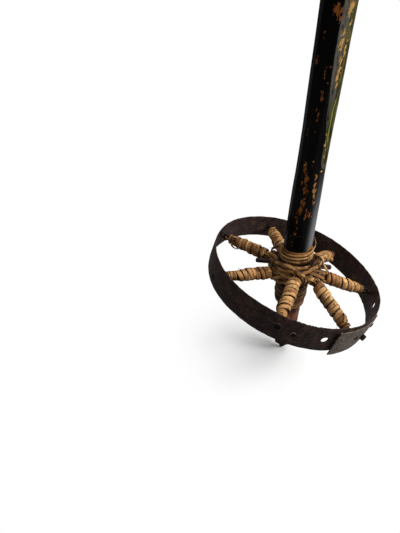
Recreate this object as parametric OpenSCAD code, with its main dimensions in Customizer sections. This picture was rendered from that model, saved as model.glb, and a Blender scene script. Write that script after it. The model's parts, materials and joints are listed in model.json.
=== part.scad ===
// Wooden ski pole with an iron ring basket: the ring is carried by seven
// cane-wound spokes that are lashed to the shaft around an iron cross pin.
// Millimetres, +Z up along the shaft, origin at the tip of the ground spike.

/* [Shaft] */
// Height from the spike's tip to the top of the shaft
pole_h = 1300; // [1150:10:1500]
// Diameter of the painted wooden shaft
shaft_d = 23.6; // [22:0.2:26]
// Diameter of the shaft's bare lower end
foot_d = 17.6; // [14:0.2:20]
// Height at which the taper of the lower end starts
taper_z = 46; // [35:1:60]

/* [Ground spike] */
// Height of the shaft's lower face above the tip
foot_z = 9; // [8:0.5:14]
// Diameter of the iron spike below the shaft
spike_d = 6; // [5:0.2:9]

/* [Iron ring] */
// Outside diameter of the ring
ring_d = 168; // [160:1:185]
// Height of the strap iron
band_h = 25.4; // [20:0.2:30]
// Thickness of the strap iron
band_t = 1.6; // [1.2:0.1:2.2]
// Height of the ring's centre above the tip
ring_z = 103.8; // [100:0.2:107]
// Lean of the ring against the shaft, in degrees
ring_lean = 15.2; // [12:0.2:17]
// Diameter of the holes punched in the ring
hole_d = 6.5; // [5.5:0.1:7.5]

/* [Spokes] */
// Diameter of a spoke's core
core_d = 8.4; // [7:0.2:8.8]
// Thickness of the cane wound on a spoke's core
wrap_t = 2.2; // [1.8:0.1:2.8]
// Height of one turn of cane
turn_h = 4.3; // [3.6:0.1:5.5]

/* [Hub] */
// Height of the cross pin above the tip
pin_z = 117.2; // [115:0.2:120]
// Diameter of the iron cross pin
pin_d = 5; // [4:0.1:5.2]
// Outside diameter of the cane wound round the shaft inside the hub
hub_d = 38.4; // [38:0.2:40]
// Angle that the basket can rock each way, in degrees
rock = 6; // [2:0.5:6]

/* [Grip and strap] */
// Length of the leather grip
grip_l = 105; // [80:5:140]
// Depth of the cross pin for the strap below the shaft's top
strap_drop = 28; // [24:1:34]
// Length of the strap's loop
loop_l = 190; // [160:5:220]
// Greatest width of the strap's loop
loop_w = 93; // [80:1:110]

/* [Hidden] */
$fn = 48;
fit = 0.03;         // a part that is driven or pressed into another
run_fit = 0.05;     // a bore that turns on a pin
gap = 0.3;          // daylight between parts that move past each other
eps = 0.01;
shaft_r = shaft_d / 2;
pin_r = pin_d / 2;
hub_r = hub_d / 2;
core_r = core_d / 2;
wrap_r = core_r + wrap_t;
ring_r = ring_d / 2;
ring_in = ring_r - band_t;
hole_r = hole_d / 2;
pin_az = -10.4;     // direction of the cross pin and of the ring's lean
pin_left = 37.4;
pin_right = 34.1;
hub_h = 14.4;
strand_r = 1.9;
lane_in = hub_r + 1.5;
lane_out = hub_r + 4.6;
lash_r = lane_out + strand_r;

// One entry per spoke, counter-clockwise from the front
spokes = [0 : 6];
ring_az = [249.5, 302.6, -1.4, 43, 99.4, 150, 195.6];
ring_v = [1.2, -1.5, 0.7, 0, 0, 0.7, -5.8];
hub_az = [268.6, 311.4, 348.5, 387.9, 461.1, 513.5, 564.6];
hub_off = [0.7, -1.7, -7.8, -3.8, -2.8, -0.9, -4];   // a spoke's root above the cross pin
bare = [12.5, 7.6, 9, 6.8, 6.8, 8, 15];

function dir(az) = [cos(az), sin(az), 0];
function lean_point(p) =
    let (u = p * dir(pin_az), w = p * dir(pin_az + 90))
    (u * cos(ring_lean) + p.z * sin(ring_lean)) * dir(pin_az) + w * dir(pin_az + 90)
    + [0, 0, ring_z + p.z * cos(ring_lean) - u * sin(ring_lean)];

// Outline of wound cane: from height z0, n turns that change from radius r0 to r1
function turns(z0, n, h, r0, r1, groove) = [
    for (i = [0 : n - 1]) let (r = r0 + (r1 - r0) * i / max(n - 1, 1))
        for (p = [[0, groove], [0.22, 0.12], [0.5, 0], [0.78, 0.12], [1, groove]])
            if (p.x < 1 || i == n - 1) [r - p.y, z0 + (i + p.x) * h]
];

module wound(z0, n, h, r0, r1, bore, groove = 0.8) {
    rotate_extrude() polygon(concat([[bore, z0]], turns(z0, n, h, r0, r1, groove), [[bore, z0 + n * h]]));
}

module ring_frame() {
    translate([0, 0, ring_z]) rotate([0, 0, pin_az]) rotate([0, ring_lean, 0]) rotate([0, 0, -pin_az]) children();
}

module along(a, b) {
    v = b - a;
    translate(a) rotate([0, acos(v.z / norm(v)), atan2(v.y, v.x)]) children();
}

module cross_rod(r, from, to) {
    translate([0, 0, pin_z]) rotate([0, 90, pin_az]) translate([0, 0, from]) cylinder(r = r, h = to - from);
}

// Node to draw, or all of them

// ---- shaft and what is fixed to it ----

spike_l = 52;
strap_z = pole_h - strap_drop;
strap_pin_r = 2;
dome_h = 9;

module shaft_blank() {
    rotate_extrude() polygon(concat(
        [[0, foot_z], [foot_d / 2 - 1.2, foot_z], [foot_d / 2, foot_z + 1.2],
         [shaft_r - 1, taper_z - 12], [shaft_r, taper_z]],
        [for (a = [0 : 15 : 75]) [shaft_r - 5 + 5 * cos(a), pole_h - dome_h + dome_h * sin(a)]],
        [[0, pole_h]]));
}

module shaft() {
    color("#17140f") difference() {
        shaft_blank();
        translate([0, 0, foot_z - 1]) cylinder(r = spike_d / 2 - 0.4 + fit, h = spike_l - foot_z + 1 + fit);
        cross_rod(pin_r + fit, -shaft_d, shaft_d);
        translate([0, 0, strap_z]) rotate([0, 90, 0]) translate([0, 0, -shaft_d])
            cylinder(r = strap_pin_r + fit, h = 2 * shaft_d);
    }
}

module ground_spike() {
    r = spike_d / 2;
    color("#2b2624") rotate_extrude() polygon([
        [0, 0], [0.5, 0.3], [r, 4], [r, foot_z - fit], [r - 0.4, foot_z - fit],
        [r - 0.4, spike_l - 8], [0.8, spike_l], [0, spike_l]]);
}

module basket_pin() {
    color("#29211c") {
        cross_rod(pin_r, -pin_left, pin_right);
        cross_rod(pin_r - 0.6, -pin_left - 0.7, pin_right + 0.7);
    }
}

module shaft_whipping() {
    top_z = pin_z - hub_h / 2 - 9;
    low_z = top_z - 30.6;
    n = round((top_z - low_z) / (turn_h - 0.15));
    color("#6b4a2a") wound(low_z, n, (top_z - low_z) / n, shaft_r + 3.1, shaft_r + 4, shaft_r + fit, 1);
}

module collar_whipping() {
    low_z = pin_z + hub_h / 2 + 3;
    color("#a37e49") wound(low_z, 3, 3.6, shaft_r + 3.6, shaft_r + 2.6, shaft_r + fit, 1);
}

grip_z = pole_h - strap_drop - 26 - grip_l;
grip_t = 3;

module grip_sleeve() {
    r = shaft_r + grip_t;
    color("#3f2817") difference() {
        rotate_extrude() polygon([
            [shaft_r + fit, grip_z], [r - 1, grip_z], [r, grip_z + 1.5], [r + 0.6, grip_z + grip_l / 2],
            [r, grip_z + grip_l - 1.5], [r - 1, grip_z + grip_l], [shaft_r + fit, grip_z + grip_l]]);
        // the open seam where the leather's edges meet
        translate([-0.3, 0, grip_z - 1]) cube([0.6, 2 * r, grip_l + 2]);
    }
}

module grip_whipping(z0) {
    color("#8a6a3c") wound(z0, 3, 3.6, shaft_r + 1.9, shaft_r + 1.9, shaft_r + fit, 0.7);
}

module grip_whipping_low() {
    grip_whipping(grip_z - 3 * 3.6 - 0.2);
}

module grip_whipping_top() {
    grip_whipping(grip_z + grip_l + 0.2);
}

strap_t = 3;
strap_w = 16;
leg_x = shaft_r + 0.9 + strap_t / 2;
washer_t = 1;
head_x = leg_x + strap_t / 2 + gap + washer_t + 0.05;

module along_x() {
    translate([0, 0, strap_z]) rotate([0, 90, 0]) children();
}

module strap_pin() {
    color("#2b2624") {
        along_x() translate([0, 0, -head_x - 0.4]) cylinder(r = strap_pin_r, h = 2 * head_x + 0.8);
        for (s = [0, 1]) mirror([s, 0, 0]) along_x() translate([0, 0, head_x]) rotate_extrude()
            polygon([[0, 0], [3.6, 0], [3.4, 0.8], [2.2, 1.5], [0, 1.7]]);
    }
}

module strap_washers() {
    color("#4a4038") for (s = [0, 1]) mirror([s, 0, 0]) along_x() translate([0, 0, head_x - washer_t - 0.03])
        difference() {
            cylinder(r = 6, h = washer_t);
            translate([0, 0, -1]) cylinder(r = strap_pin_r + fit, h = washer_t + 2);
        }
}

// ---- basket ----

module radial(az, v) {
    ring_frame() rotate([0, 0, az]) translate([0, 0, v]) rotate([0, 90, 0]) children();
}

seam_az = 297;
plate_az = [285.2, 325];
spare_holes = [[279, 0.2], [343, 2.1]];
plug_at = [259.6, -0.4];
block_at = [311.5, -4.8];
rivet_at = [319, 4];

module ring_holes() {
    for (i = spokes) radial(ring_az[i], ring_v[i]) translate([0, 0, ring_in - 4]) cylinder(r = hole_r, h = 12);
    for (p = [block_at, rivet_at]) radial(p.x, p.y) translate([0, 0, ring_in - 4]) cylinder(r = 1.5 + fit, h = 12);
}

module ring_band() {
    color("#2e2420") difference() {
        ring_frame() rotate_extrude(angle = 359.4, start = seam_az + 0.3) polygon([
            [ring_in + 0.4, -band_h / 2], [ring_r - 0.4, -band_h / 2], [ring_r, -band_h / 2 + 0.4],
            [ring_r, band_h / 2 - 0.4], [ring_r - 0.4, band_h / 2],
            [ring_in + 0.4, band_h / 2], [ring_in, band_h / 2 - 0.4], [ring_in, -band_h / 2 + 0.4]]);
        ring_holes();
        for (p = spare_holes) radial(p.x, p.y) translate([0, 0, ring_in - 4]) cylinder(r = hole_r, h = 12);
        radial(plug_at.x, plug_at.y) translate([0, 0, ring_in - 4]) cylinder(r = 2 + fit, h = 12);
    }
}

// The plate follows the ring at its right end and stands off at its free end
plate_t = 1.3;
plate_drop = 3.6;
plate_off = 1.6;

module lap_plate() {
    span = plate_az[1] - plate_az[0];
    r_in = ring_r + 0.08;
    away = plate_off / (1 - cos(span));
    color("#51473f") difference() {
        ring_frame() intersection() {
            // an arc of larger radius that touches the ring at the plate's right end
            translate(-away * dir(plate_az[1])) rotate_extrude(angle = 60, start = plate_az[1] - 50)
                translate([r_in + away, -band_h / 2 - plate_drop]) square([plate_t, band_h + plate_drop - 2.2]);
            rotate([0, 0, plate_az[0]]) rotate_extrude(angle = span)
                translate([ring_r - 1, -band_h]) square([8, 2 * band_h]);
        }
        ring_holes();
        // the lower edge rises towards the plate's right end
        ring_frame() rotate([0, 0, plate_az[1]]) translate([ring_r - 14, 0, -band_h / 2 + 4]) rotate([16, 0, 0])
            translate([0, -60, -30]) cube([30, 120, 30]);
    }
}

module rivet(r, from, to, head_r, head_h) {
    rotate_extrude() polygon([
        [0, from - head_h], [head_r * 0.7, from - head_h], [head_r, from], [r, from],
        [r, to], [head_r, to], [head_r * 0.7, to + head_h], [0, to + head_h]]);
}

module plate_rivets() {
    out = ring_r + plate_t + 0.2;
    color("#2b2624") {
        radial(rivet_at.x, rivet_at.y) rivet(1.5, ring_in - 0.15, out, 2.8, 0.9);
        // the other one has a square head
        radial(block_at.x, block_at.y) {
            rivet(1.5, ring_in - 0.15, out + 0.5, 2.5, 0.9);
            translate([-3, -2.6, out + 0.5]) cube([6, 5.2, 3]);
        }
    }
}

module plug_rivet() {
    color("#3a2f28") radial(plug_at.x, plug_at.y) rivet(2, ring_in - 0.15, ring_r + 0.12, 3.1, 0.8);
}

// The bore widens both ways from the pin, so that the hub can rock on the shaft
module hub_windings() {
    half = hub_h / 2;
    waist = shaft_r + gap;
    flare = half * tan(rock) + shaft_r * (1 / cos(rock) - 1);
    color("#8c6a3d") difference() {
        rotate_extrude() polygon(concat(
            [[waist, pin_z], [waist + flare, pin_z - half]],
            turns(pin_z - half, 4, hub_h / 4, hub_r, hub_r, 0.5),
            [[waist + flare, pin_z + half]]));
        cross_rod(pin_r + run_fit, -2 * hub_r, 2 * hub_r);
    }
}

// Spokes: a cane core that ends in a loop, hooked into an iron eye in the ring
eye_r = 2.7;
eye_wire = 1.1;
loop_wire = 1.1;
eye_at = ring_in - 0.2 - eye_wire - eye_r;
core_from = 2 * eye_r + 0.6;

function eye_point(i) = lean_point([eye_at * cos(ring_az[i]), eye_at * sin(ring_az[i]), ring_v[i]]);
function root_point(i) = [(hub_r - 2) * cos(hub_az[i]), (hub_r - 2) * sin(hub_az[i]), pin_z + hub_off[i]];
function spoke_len(i) = norm(root_point(i) - eye_point(i));
function core_z(i, r) = let (a = eye_point(i), b = root_point(i), ra = norm([a.x, a.y]))
    b.z + (a.z - b.z) * (r - hub_r + 2) / (ra - hub_r + 2);

module spoke_line(i) {
    along(eye_point(i), root_point(i)) children();
}

module spoke_core(i) {
    color("#6d5233") difference() {
        spoke_line(i) {
            translate([0, 0, core_from]) cylinder(r = core_r, h = spoke_len(i) - core_from);
            translate([0, 0, core_from - 1.2]) cylinder(r1 = core_r - 1.4, r2 = core_r, h = 1.2 + eps);
            translate([0, 0, eye_r]) rotate([0, 90, 0])
                rotate_extrude() translate([eye_r, 0]) circle(r = loop_wire, $fn = 24);
        }
        // seated on the hub's inner winding, and cut clear of the cross pin
        translate([0, 0, pin_z - 40]) cylinder(r = hub_r + 0.1, h = 80);
        cross_rod(pin_r + gap, -pin_left - 5, pin_right + 5);
    }
}

// Room between a winding's end and both the lashing and the cross pin, at a distance from the eye
function room(i, l) =
    let (d = (root_point(i) - eye_point(i)) / spoke_len(i), p = eye_point(i) + l * d,
         a = [-d.y, d.x, 0] / norm([d.x, d.y]), b = cross(d, a), t = (p - [0, 0, pin_z]) * dir(pin_az),
         pin = [0, 0, pin_z] + min(max(t, -pin_left - 0.7), pin_right + 0.7) * dir(pin_az),
         rim = [for (g = [0 : 15 : 345]) let (q = p + wrap_r * (cos(g) * a + sin(g) * b)) norm([q.x, q.y])])
    min(min(rim) - lash_r, norm(p - pin) - wrap_r - pin_r) - gap;

// A winding runs towards the hub until that room is used up
function wrap_end(i, l, steps) = steps == 0 ? l : wrap_end(i, l + room(i, l), steps - 1);

module spoke_winding(i) {
    first = bare[i];
    last = wrap_end(i, spoke_len(i) / 2, 14);
    n = round((last - first) / turn_h);
    color("#b08a54") spoke_line(i)
        wound(first, n, (last - first) / n, wrap_r - 0.7, wrap_r, core_r + fit, 0.9);
}

module ring_eye(i) {
    // the one under the plate ends in the plate's hole, the others are clenched outside
    shank_r = hole_r - 0.25;
    out = i == 1 ? ring_r + 0.6 : ring_r + 0.15;
    color("#2b2422") {
        radial(ring_az[i], ring_v[i]) {
            translate([0, 0, eye_at]) rotate([90, 0, 0])
                rotate_extrude() translate([eye_r, 0]) circle(r = eye_wire, $fn = 24);
            translate([0, 0, eye_at + eye_r]) cylinder(r = shank_r, h = out - eye_at - eye_r + eps);
            if (i != 1) translate([0, 0, out]) cylinder(r1 = hole_r + 0.8, r2 = hole_r, h = 0.9);
        }
    }
}

// One strand goes twice round the hub, over one spoke and under the next. The
// cross pin's ends share a crossing with the spokes beside them.
over = core_r + strand_r + 0.15;
// crossing number, azimuth, spoke, and extra height above it for the pin
weave = [
    [0, 268.6, 0, 0], [1, 311.4, 1, 0], [2, 342, 2, 8.2], [2, 356, 2, 8.2], [3, 388, 3, 0],
    [4, 461, 4, 0], [5, 511, 5, 0.6], [5, 529, 5, 0.8], [6, 564.6, 6, 0]
];
rows = len(weave);

function strand_knot(k, lane_r, flip) =
    let (w = weave[k % rows], lap = floor(k / rows), up = (w[0] + lap + flip) % 2 == 0)
    [w[1] + 360 * lap, core_z(w[2], lane_r) + (up ? over + w[3] : -over)];

function strand_point(t, lane_r, flip) =
    let (k = floor(t), a = strand_knot(k, lane_r, flip), b = strand_knot(k + 1, lane_r, flip),
         s = t - k, az = a.x + (b.x - a.x) * s, z = a.y + (b.y - a.y) * (3 * s * s - 2 * s * s * s))
    [lane_r * cos(az), lane_r * sin(az), z];

module strand(lane_r, flip) {
    step = 1 / 3;
    for (t = [0 : step : 2 * rows - step / 2]) hull() {
        translate(strand_point(t, lane_r, flip)) sphere(r = strand_r, $fn = 7);
        translate(strand_point((t + step) % (2 * rows), lane_r, flip)) sphere(r = strand_r, $fn = 7);
    }
}

module hub_lashing() {
    reach = hub_r + 0.1;
    low = 20;
    color("#a9834d") difference() {
        union() {
            strand(lane_in, 0);
            strand(lane_out, 1);
        }
        // seat on the windings, with room for the shaft's lower winding as the hub rocks
        translate([0, 0, pin_z - 8]) cylinder(r = reach, h = 40, $fn = 64);
        translate([0, 0, pin_z - 8 - low]) cylinder(r1 = reach + low * tan(rock), r2 = reach, h = low + eps, $fn = 64);
        cross_rod(pin_r + 0.35, -pin_left - 5, pin_right + 5);
        for (i = spokes) spoke_line(i) translate([0, 0, core_from]) cylinder(r = core_r + 0.06, h = spoke_len(i));
    }
}

// ---- wrist strap: a leather loop that swings on its pin ----

strap_rest = 8.6;
bow = 128;
straight = strap_w / 2;

// Half width of the strap's loop at a distance below its pin
function bowed(l) = leg_x + (loop_w / 2 - leg_x) * pow(sin(90 * max(l - straight, 0) / (bow - straight)), 1.2);
leg_steps = [-strap_w / 2, straight, 14, 22, 32, 46, 64, 86, 108];

function strap_line(off) = concat(
    [for (l = leg_steps) [bowed(l) + off, l]],
    [for (a = [0 : 5 : 180]) [(loop_w / 2 + off) * cos(a), bow + (loop_l - bow + off) * sin(a)]],
    [for (i = [len(leg_steps) - 1 : -1 : 0]) [-bowed(leg_steps[i]) - off, leg_steps[i]]]);

module hang() {
    translate([0, 0, strap_z]) rotate([-90 - strap_rest, 0, 0]) children();
}

module wrist_strap() {
    inner = strap_line(-strap_t / 2);
    outer = strap_line(strap_t / 2);
    last = len(inner) - 1;
    color("#4a2d18") difference() {
        intersection() {
            hang() linear_extrude(height = strap_w, center = true)
                polygon(concat(outer, [for (i = [0 : last]) inner[last - i]]));
            // rounded ends about the pin
            union() {
                along_x() translate([0, 0, -40]) cylinder(r = strap_w / 2, h = 80);
                hang() translate([-80, 0, -20]) cube([160, loop_l + 20, 40]);
            }
        }
        along_x() translate([0, 0, -60]) cylinder(r = strap_pin_r + run_fit, h = 120);
        hang() translate([0, loop_l - 20, 0]) rotate([-90, 0, 0]) cylinder(r = 1.5 + fit, h = 40);
    }
}

module strap_rivet() {
    head_r = 3.4;
    // the inner head stands clear of the strap where the loop's end curves away from it
    seat = 0.15 + head_r * (loop_l - bow) / (loop_w / 2) * tan(2.5);
    color("#6a5a3a") hang() rotate([-90, 0, 0])
        rivet(1.5, loop_l - strap_t / 2 - seat, loop_l + strap_t / 2 + 0.1, head_r, 0.8);
}

shaft();
ground_spike();
basket_pin();
shaft_whipping();
collar_whipping();
grip_sleeve();
grip_whipping_low();
grip_whipping_top();
strap_pin();
strap_washers();
ring_band();
lap_plate();
plate_rivets();
plug_rivet();
hub_windings();
hub_lashing();
for (i = spokes) {
    spoke_core(i);
    spoke_winding(i);
    ring_eye(i);
}
wrist_strap();
strap_rivet();
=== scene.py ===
import json
import math

import bpy
import numpy as np
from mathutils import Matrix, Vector


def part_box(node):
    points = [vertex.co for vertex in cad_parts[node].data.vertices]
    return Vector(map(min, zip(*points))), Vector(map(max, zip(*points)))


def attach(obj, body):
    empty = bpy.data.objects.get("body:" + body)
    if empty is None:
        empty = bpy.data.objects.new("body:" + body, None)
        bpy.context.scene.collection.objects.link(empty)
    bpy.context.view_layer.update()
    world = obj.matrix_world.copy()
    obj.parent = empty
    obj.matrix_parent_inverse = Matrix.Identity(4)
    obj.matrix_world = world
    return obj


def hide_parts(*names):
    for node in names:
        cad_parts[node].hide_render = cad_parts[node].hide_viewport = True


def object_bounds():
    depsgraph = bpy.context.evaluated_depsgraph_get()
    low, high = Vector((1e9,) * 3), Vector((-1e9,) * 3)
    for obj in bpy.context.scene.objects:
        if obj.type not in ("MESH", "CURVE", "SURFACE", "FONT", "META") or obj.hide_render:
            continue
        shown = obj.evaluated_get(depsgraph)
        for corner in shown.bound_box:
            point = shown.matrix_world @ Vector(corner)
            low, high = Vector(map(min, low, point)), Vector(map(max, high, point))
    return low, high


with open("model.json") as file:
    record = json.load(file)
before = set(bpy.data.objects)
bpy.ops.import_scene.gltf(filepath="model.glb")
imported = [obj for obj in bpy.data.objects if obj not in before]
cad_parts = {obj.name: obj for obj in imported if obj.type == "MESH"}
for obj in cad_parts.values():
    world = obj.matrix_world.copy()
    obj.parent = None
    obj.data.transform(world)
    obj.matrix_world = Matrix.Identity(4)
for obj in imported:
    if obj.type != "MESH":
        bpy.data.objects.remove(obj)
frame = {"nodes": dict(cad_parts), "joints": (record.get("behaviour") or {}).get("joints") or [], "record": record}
cad_low, cad_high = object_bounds()


# ---------------------------------------------------------------- cross pin
# A rod of round iron driven through the shaft: the basket hangs on it. Both free
# ends are cut off roughly and rounded by hammering, and the rod isn't quite straight.

MM = 0.001


class Value:
    """A socket in a shader. Arithmetic on it adds Math nodes; node() adds any other node."""

    def __init__(self, tree, socket=None):
        self.tree, self.socket = tree, socket

    def node(self, kind, inputs, out=0, **settings):
        made = self.tree.nodes.new("ShaderNode" + kind)
        for name, setting in settings.items():
            setattr(made, name, setting)
        for key, given in inputs.items():
            if isinstance(given, Value):
                self.tree.links.new(given.socket, made.inputs[key])
            else:
                made.inputs[key].default_value = given
        return Value(self.tree, made.outputs[out])

    def __add__(self, other):
        return self.node("Math", {0: self, 1: other}, operation="ADD")

    def __sub__(self, other):
        return self.node("Math", {0: self, 1: other}, operation="SUBTRACT")

    def __rsub__(self, other):
        return self.node("Math", {0: other, 1: self}, operation="SUBTRACT")

    def __mul__(self, other):
        return self.node("Math", {0: self, 1: other}, operation="MULTIPLY")

    def __abs__(self):
        return self.node("Math", {0: self}, operation="ABSOLUTE")

    __radd__, __rmul__ = __add__, __mul__


def shade(red, green, blue):
    """A colour as it is seen, 0 to 255 a channel, in the renderer's linear values."""
    seen = [c / 255 for c in (red, green, blue)]
    return (*(c / 12.92 if c <= 0.04045 else ((c + 0.055) / 1.055) ** 2.4 for c in seen), 1.0)


def ramp(value, low, high):
    return value.node("MapRange", {0: value, 1: low, 2: high}, interpolation_type="SMOOTHSTEP")


def larger(a, b):
    return a.node("Math", {0: a, 1: b}, operation="MAXIMUM")


def split(vector):
    return [vector.node("SeparateXYZ", {0: vector}, out=axis) for axis in "XYZ"]


def join(x, y, z):
    return x.node("CombineXYZ", {"X": x, "Y": y, "Z": z})


def blotch(at, size, stretch=(1, 1, 1), detail=3.0, rough=0.55, shift=0.0):
    """Noise with features about size across, drawn out along an axis with stretch above 1."""
    scaled = at.node("VectorMath", {0: at, 1: [1 / (size * s) for s in stretch], 2: [shift] * 3},
                     operation="MULTIPLY_ADD")
    return at.node("TexNoise", {"Vector": scaled, "Scale": 1.0, "Detail": detail,
                                "Roughness": rough})


def tint(amount, first, second):
    return amount.node("Mix", {0: amount, 6: first, 7: second}, out=2, data_type="RGBA")


def layered(colour, *coats):
    """A colour with coats over it, each laid on by its own mask."""
    for mask, coat in coats:
        colour = tint(mask, colour, coat)
    return colour


def material(name, make):
    """make(at) takes the place on the piece and returns its colour, roughness, height and depth."""
    made = bpy.data.materials.new(name)
    made.use_nodes = True
    tree = made.node_tree
    tree.nodes.clear()
    at = Value(tree).node("TexCoord", {}, out="Object")
    look = make(at)
    normal = at.node("Bump", {"Height": look.pop("height"), "Distance": look.pop("depth")})
    shader = at.node("BsdfPrincipled", {
        "Base Color": look.pop("colour"), "Roughness": look.pop("roughness"), "Normal": normal, **look})
    end = tree.nodes.new("ShaderNodeOutputMaterial")
    tree.links.new(shader.socket, end.inputs["Surface"])
    return made


class Form:
    """Collects grids of points into one mesh. Each point carries its lay: along, across, tone."""

    def __init__(self):
        self.points, self.lays, self.faces, self.count = [], [], [], 0

    def grid(self, points, lays=(0.0, 0.0, 0.5), closed=True, looped=False, capped=False):
        rows, cols = points.shape[:2]
        first = self.count
        for i in range(rows if looped else rows - 1):
            for j in range(cols if closed else cols - 1):
                a, b = first + i * cols, first + (i + 1) % rows * cols
                k = (j + 1) % cols
                self.faces.append((a + j, a + k, b + k, b + j))
        if capped:
            self.faces.append(tuple(first + j for j in reversed(range(cols))))
            self.faces.append(tuple(first + (rows - 1) * cols + j for j in range(cols)))
        self.points.append(points.reshape(-1, 3))
        self.lays.append(np.broadcast_to(lays, points.shape).reshape(-1, 3))
        self.count += rows * cols

    def build(self, name, look, body, nodes, slot, sharp=40):
        mesh = bpy.data.meshes.new(name)
        mesh.from_pydata(np.vstack(self.points).tolist(), [], self.faces)
        lay = mesh.attributes.new("lay", "FLOAT_VECTOR", "POINT")
        lay.data.foreach_set("vector", np.vstack(self.lays).astype(np.float32).ravel())
        mesh.polygons.foreach_set("use_smooth", [True] * len(mesh.polygons))
        mesh.set_sharp_from_angle(angle=math.radians(sharp))
        mesh.materials.append(look)
        made = bpy.data.objects.new(name, mesh)
        bpy.context.scene.collection.objects.link(made)
        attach(made, body)
        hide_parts(*nodes)
        return made


def wander(count, reach, step, seed):
    """A smooth random line of count values within about reach, with a bend every step values."""
    knots = np.random.default_rng(seed).uniform(-1, 1, int(count / step) + 4)
    place = np.arange(count) / step
    low = place.astype(int)
    t = place - low
    t = t * t * (3 - 2 * t)
    return reach * (knots[low] * (1 - t) + knots[low + 1] * t)


def unit(vectors):
    return vectors / np.linalg.norm(vectors, axis=-1, keepdims=True)


def sides(direction):
    """Two directions square to the given one and to each other."""
    d = unit(np.asarray(direction, float))
    a = unit(np.cross(d, (0, 0, 1) if abs(d[2]) < 0.9 else (1, 0, 0)))
    return a, np.cross(d, a)


def rod(form, path, radius, around=12, tone=0.5, capped=True, rough=0.0, seed=1):
    """A round rod along a path; radius may change along it and rough dents it."""
    path = np.asarray(path, float)
    tangent = unit(np.gradient(path, axis=0))
    a = np.empty_like(path)
    a[0] = sides(tangent[0])[0]
    for i in range(1, len(path)):
        a[i] = unit(a[i - 1] - tangent[i] * np.dot(a[i - 1], tangent[i]))
    b = np.cross(tangent, a)
    turn = np.linspace(0, 2 * math.pi, around, endpoint=False)
    dents = 1 + rough * np.random.default_rng(seed).uniform(-1, 1, (len(path), around))
    spread = np.broadcast_to(radius, len(path))[:, None] * dents
    points = path[:, None] + spread[..., None] * (
        a[:, None] * np.cos(turn)[None, :, None] + b[:, None] * np.sin(turn)[None, :, None])
    length = np.r_[0, np.cumsum(np.linalg.norm(np.diff(path, axis=0), axis=1))]
    lays = np.stack(np.broadcast_arrays(length[:, None], np.cos(turn)[None], tone), -1)
    form.grid(points, lays, capped=capped)


def old_iron(dark, rust, worn, gloss=0.42):
    """Rusted iron; a lay tone below 0.45 darkens it, which paints shade into the hollows of the eyes and the plug,
    and one above 0.55 wears an edge.
    """
    def make(at):
        tone = split(at.node("Attribute", {}, out="Vector", attribute_name="lay"))[2]
        grain = blotch(at, 0.0016, detail=4)
        mottle = ramp(blotch(at, 0.0075, detail=7, rough=0.68), 0.47, 0.62)
        rusty = ramp(blotch(at, 0.014, detail=5, shift=1), 0.44, 0.6) * mottle
        scale = ramp(blotch(at, 0.0042, detail=5, shift=4), 0.58, 0.72)
        rubbed = ramp(blotch(at, 0.005, (1, 1, 0.5), detail=6, rough=0.65, shift=9), 0.58, 0.72)
        speck = ramp(blotch(at, 0.0013, detail=2, shift=2), 0.68, 0.73)
        pit = ramp(blotch(at, 0.0018, detail=2, shift=6), 0.66, 0.74)
        colour = tint(ramp(grain, 0.3, 0.6), shade(24, 18, 16), dark)
        colour = layered(colour, (mottle * 0.35, rust), (rusty * 0.8, rust), (rubbed * 0.5, worn),
                         (speck * 0.7, shade(146, 108, 70)), (pit * 0.7, shade(10, 7, 6)))
        # a low tone blends it towards near black: painted shade in a hollow
        colour = tint(ramp(tone, 0.0, 0.45), shade(7, 5, 5), colour)
        colour = tint(ramp(tone, 0.55, 1.0) * 0.85, colour, worn)
        return {"colour": colour, "roughness": gloss + 0.25 * rusty + 0.15 * grain,
                "height": grain * 0.35 + scale * 0.5 + rusty * 0.3 - pit * 0.5, "depth": 0.0004,
                "Metallic": 0.1, "Specular IOR Level": 0.2}
    return make


pin_low, pin_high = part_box("basket_pin")
rock = next(j for j in frame["joints"] if j["name"] == "basket_rock")
pin_mid = np.array(rock["pos_m"])
pin_line = unit(np.array(rock["axis"]))
pin_r = (pin_high.z - pin_low.z) / 2
left_end = (pin_low.x - pin_mid[0] + pin_r * abs(pin_line[1])) / pin_line[0]
right_end = (pin_high.x - pin_mid[0] - pin_r * abs(pin_line[1])) / pin_line[0]

dark_iron = material("dark_iron", old_iron(shade(40, 32, 29), shade(66, 45, 34), shade(96, 86, 78)))
pin = Form()
rounded = np.array([0, 0.7, 1.6]) * MM
steps = np.r_[left_end + rounded, np.linspace(left_end + 3 * MM, right_end - 3 * MM, 30),
              right_end - rounded[::-1]]
straight_in_wood = 14 * MM
bend = np.where(np.abs(steps) > straight_in_wood, wander(len(steps), 0.35 * MM, 5, 3), 0)
girth = np.full(len(steps), pin_r * 0.985)
girth[[0, -1]], girth[[1, -2]] = pin_r * 0.55, pin_r * 0.85
pin_path = pin_mid + steps[:, None] * pin_line + bend[:, None] * (0, 0, 1)
rod(pin, pin_path, girth, around=18, rough=0.012)
pin.build("cross_pin", dark_iron, "shaft_body", ["basket_pin"], "pin_iron", sharp=60)


# ------------------------------------------------------------------- shaft
# A planed ash pole. Black paint over old olive paint and bare wood: it is chipped in
# small ragged flakes, rubbed dull down one side, and ends raggedly at the basket.
# Below the basket the wood is bare, reddish brown and narrows to its foot.

shaft_low, shaft_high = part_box("shaft")
shaft_r = (shaft_high.x - shaft_low.x) / 2

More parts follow.
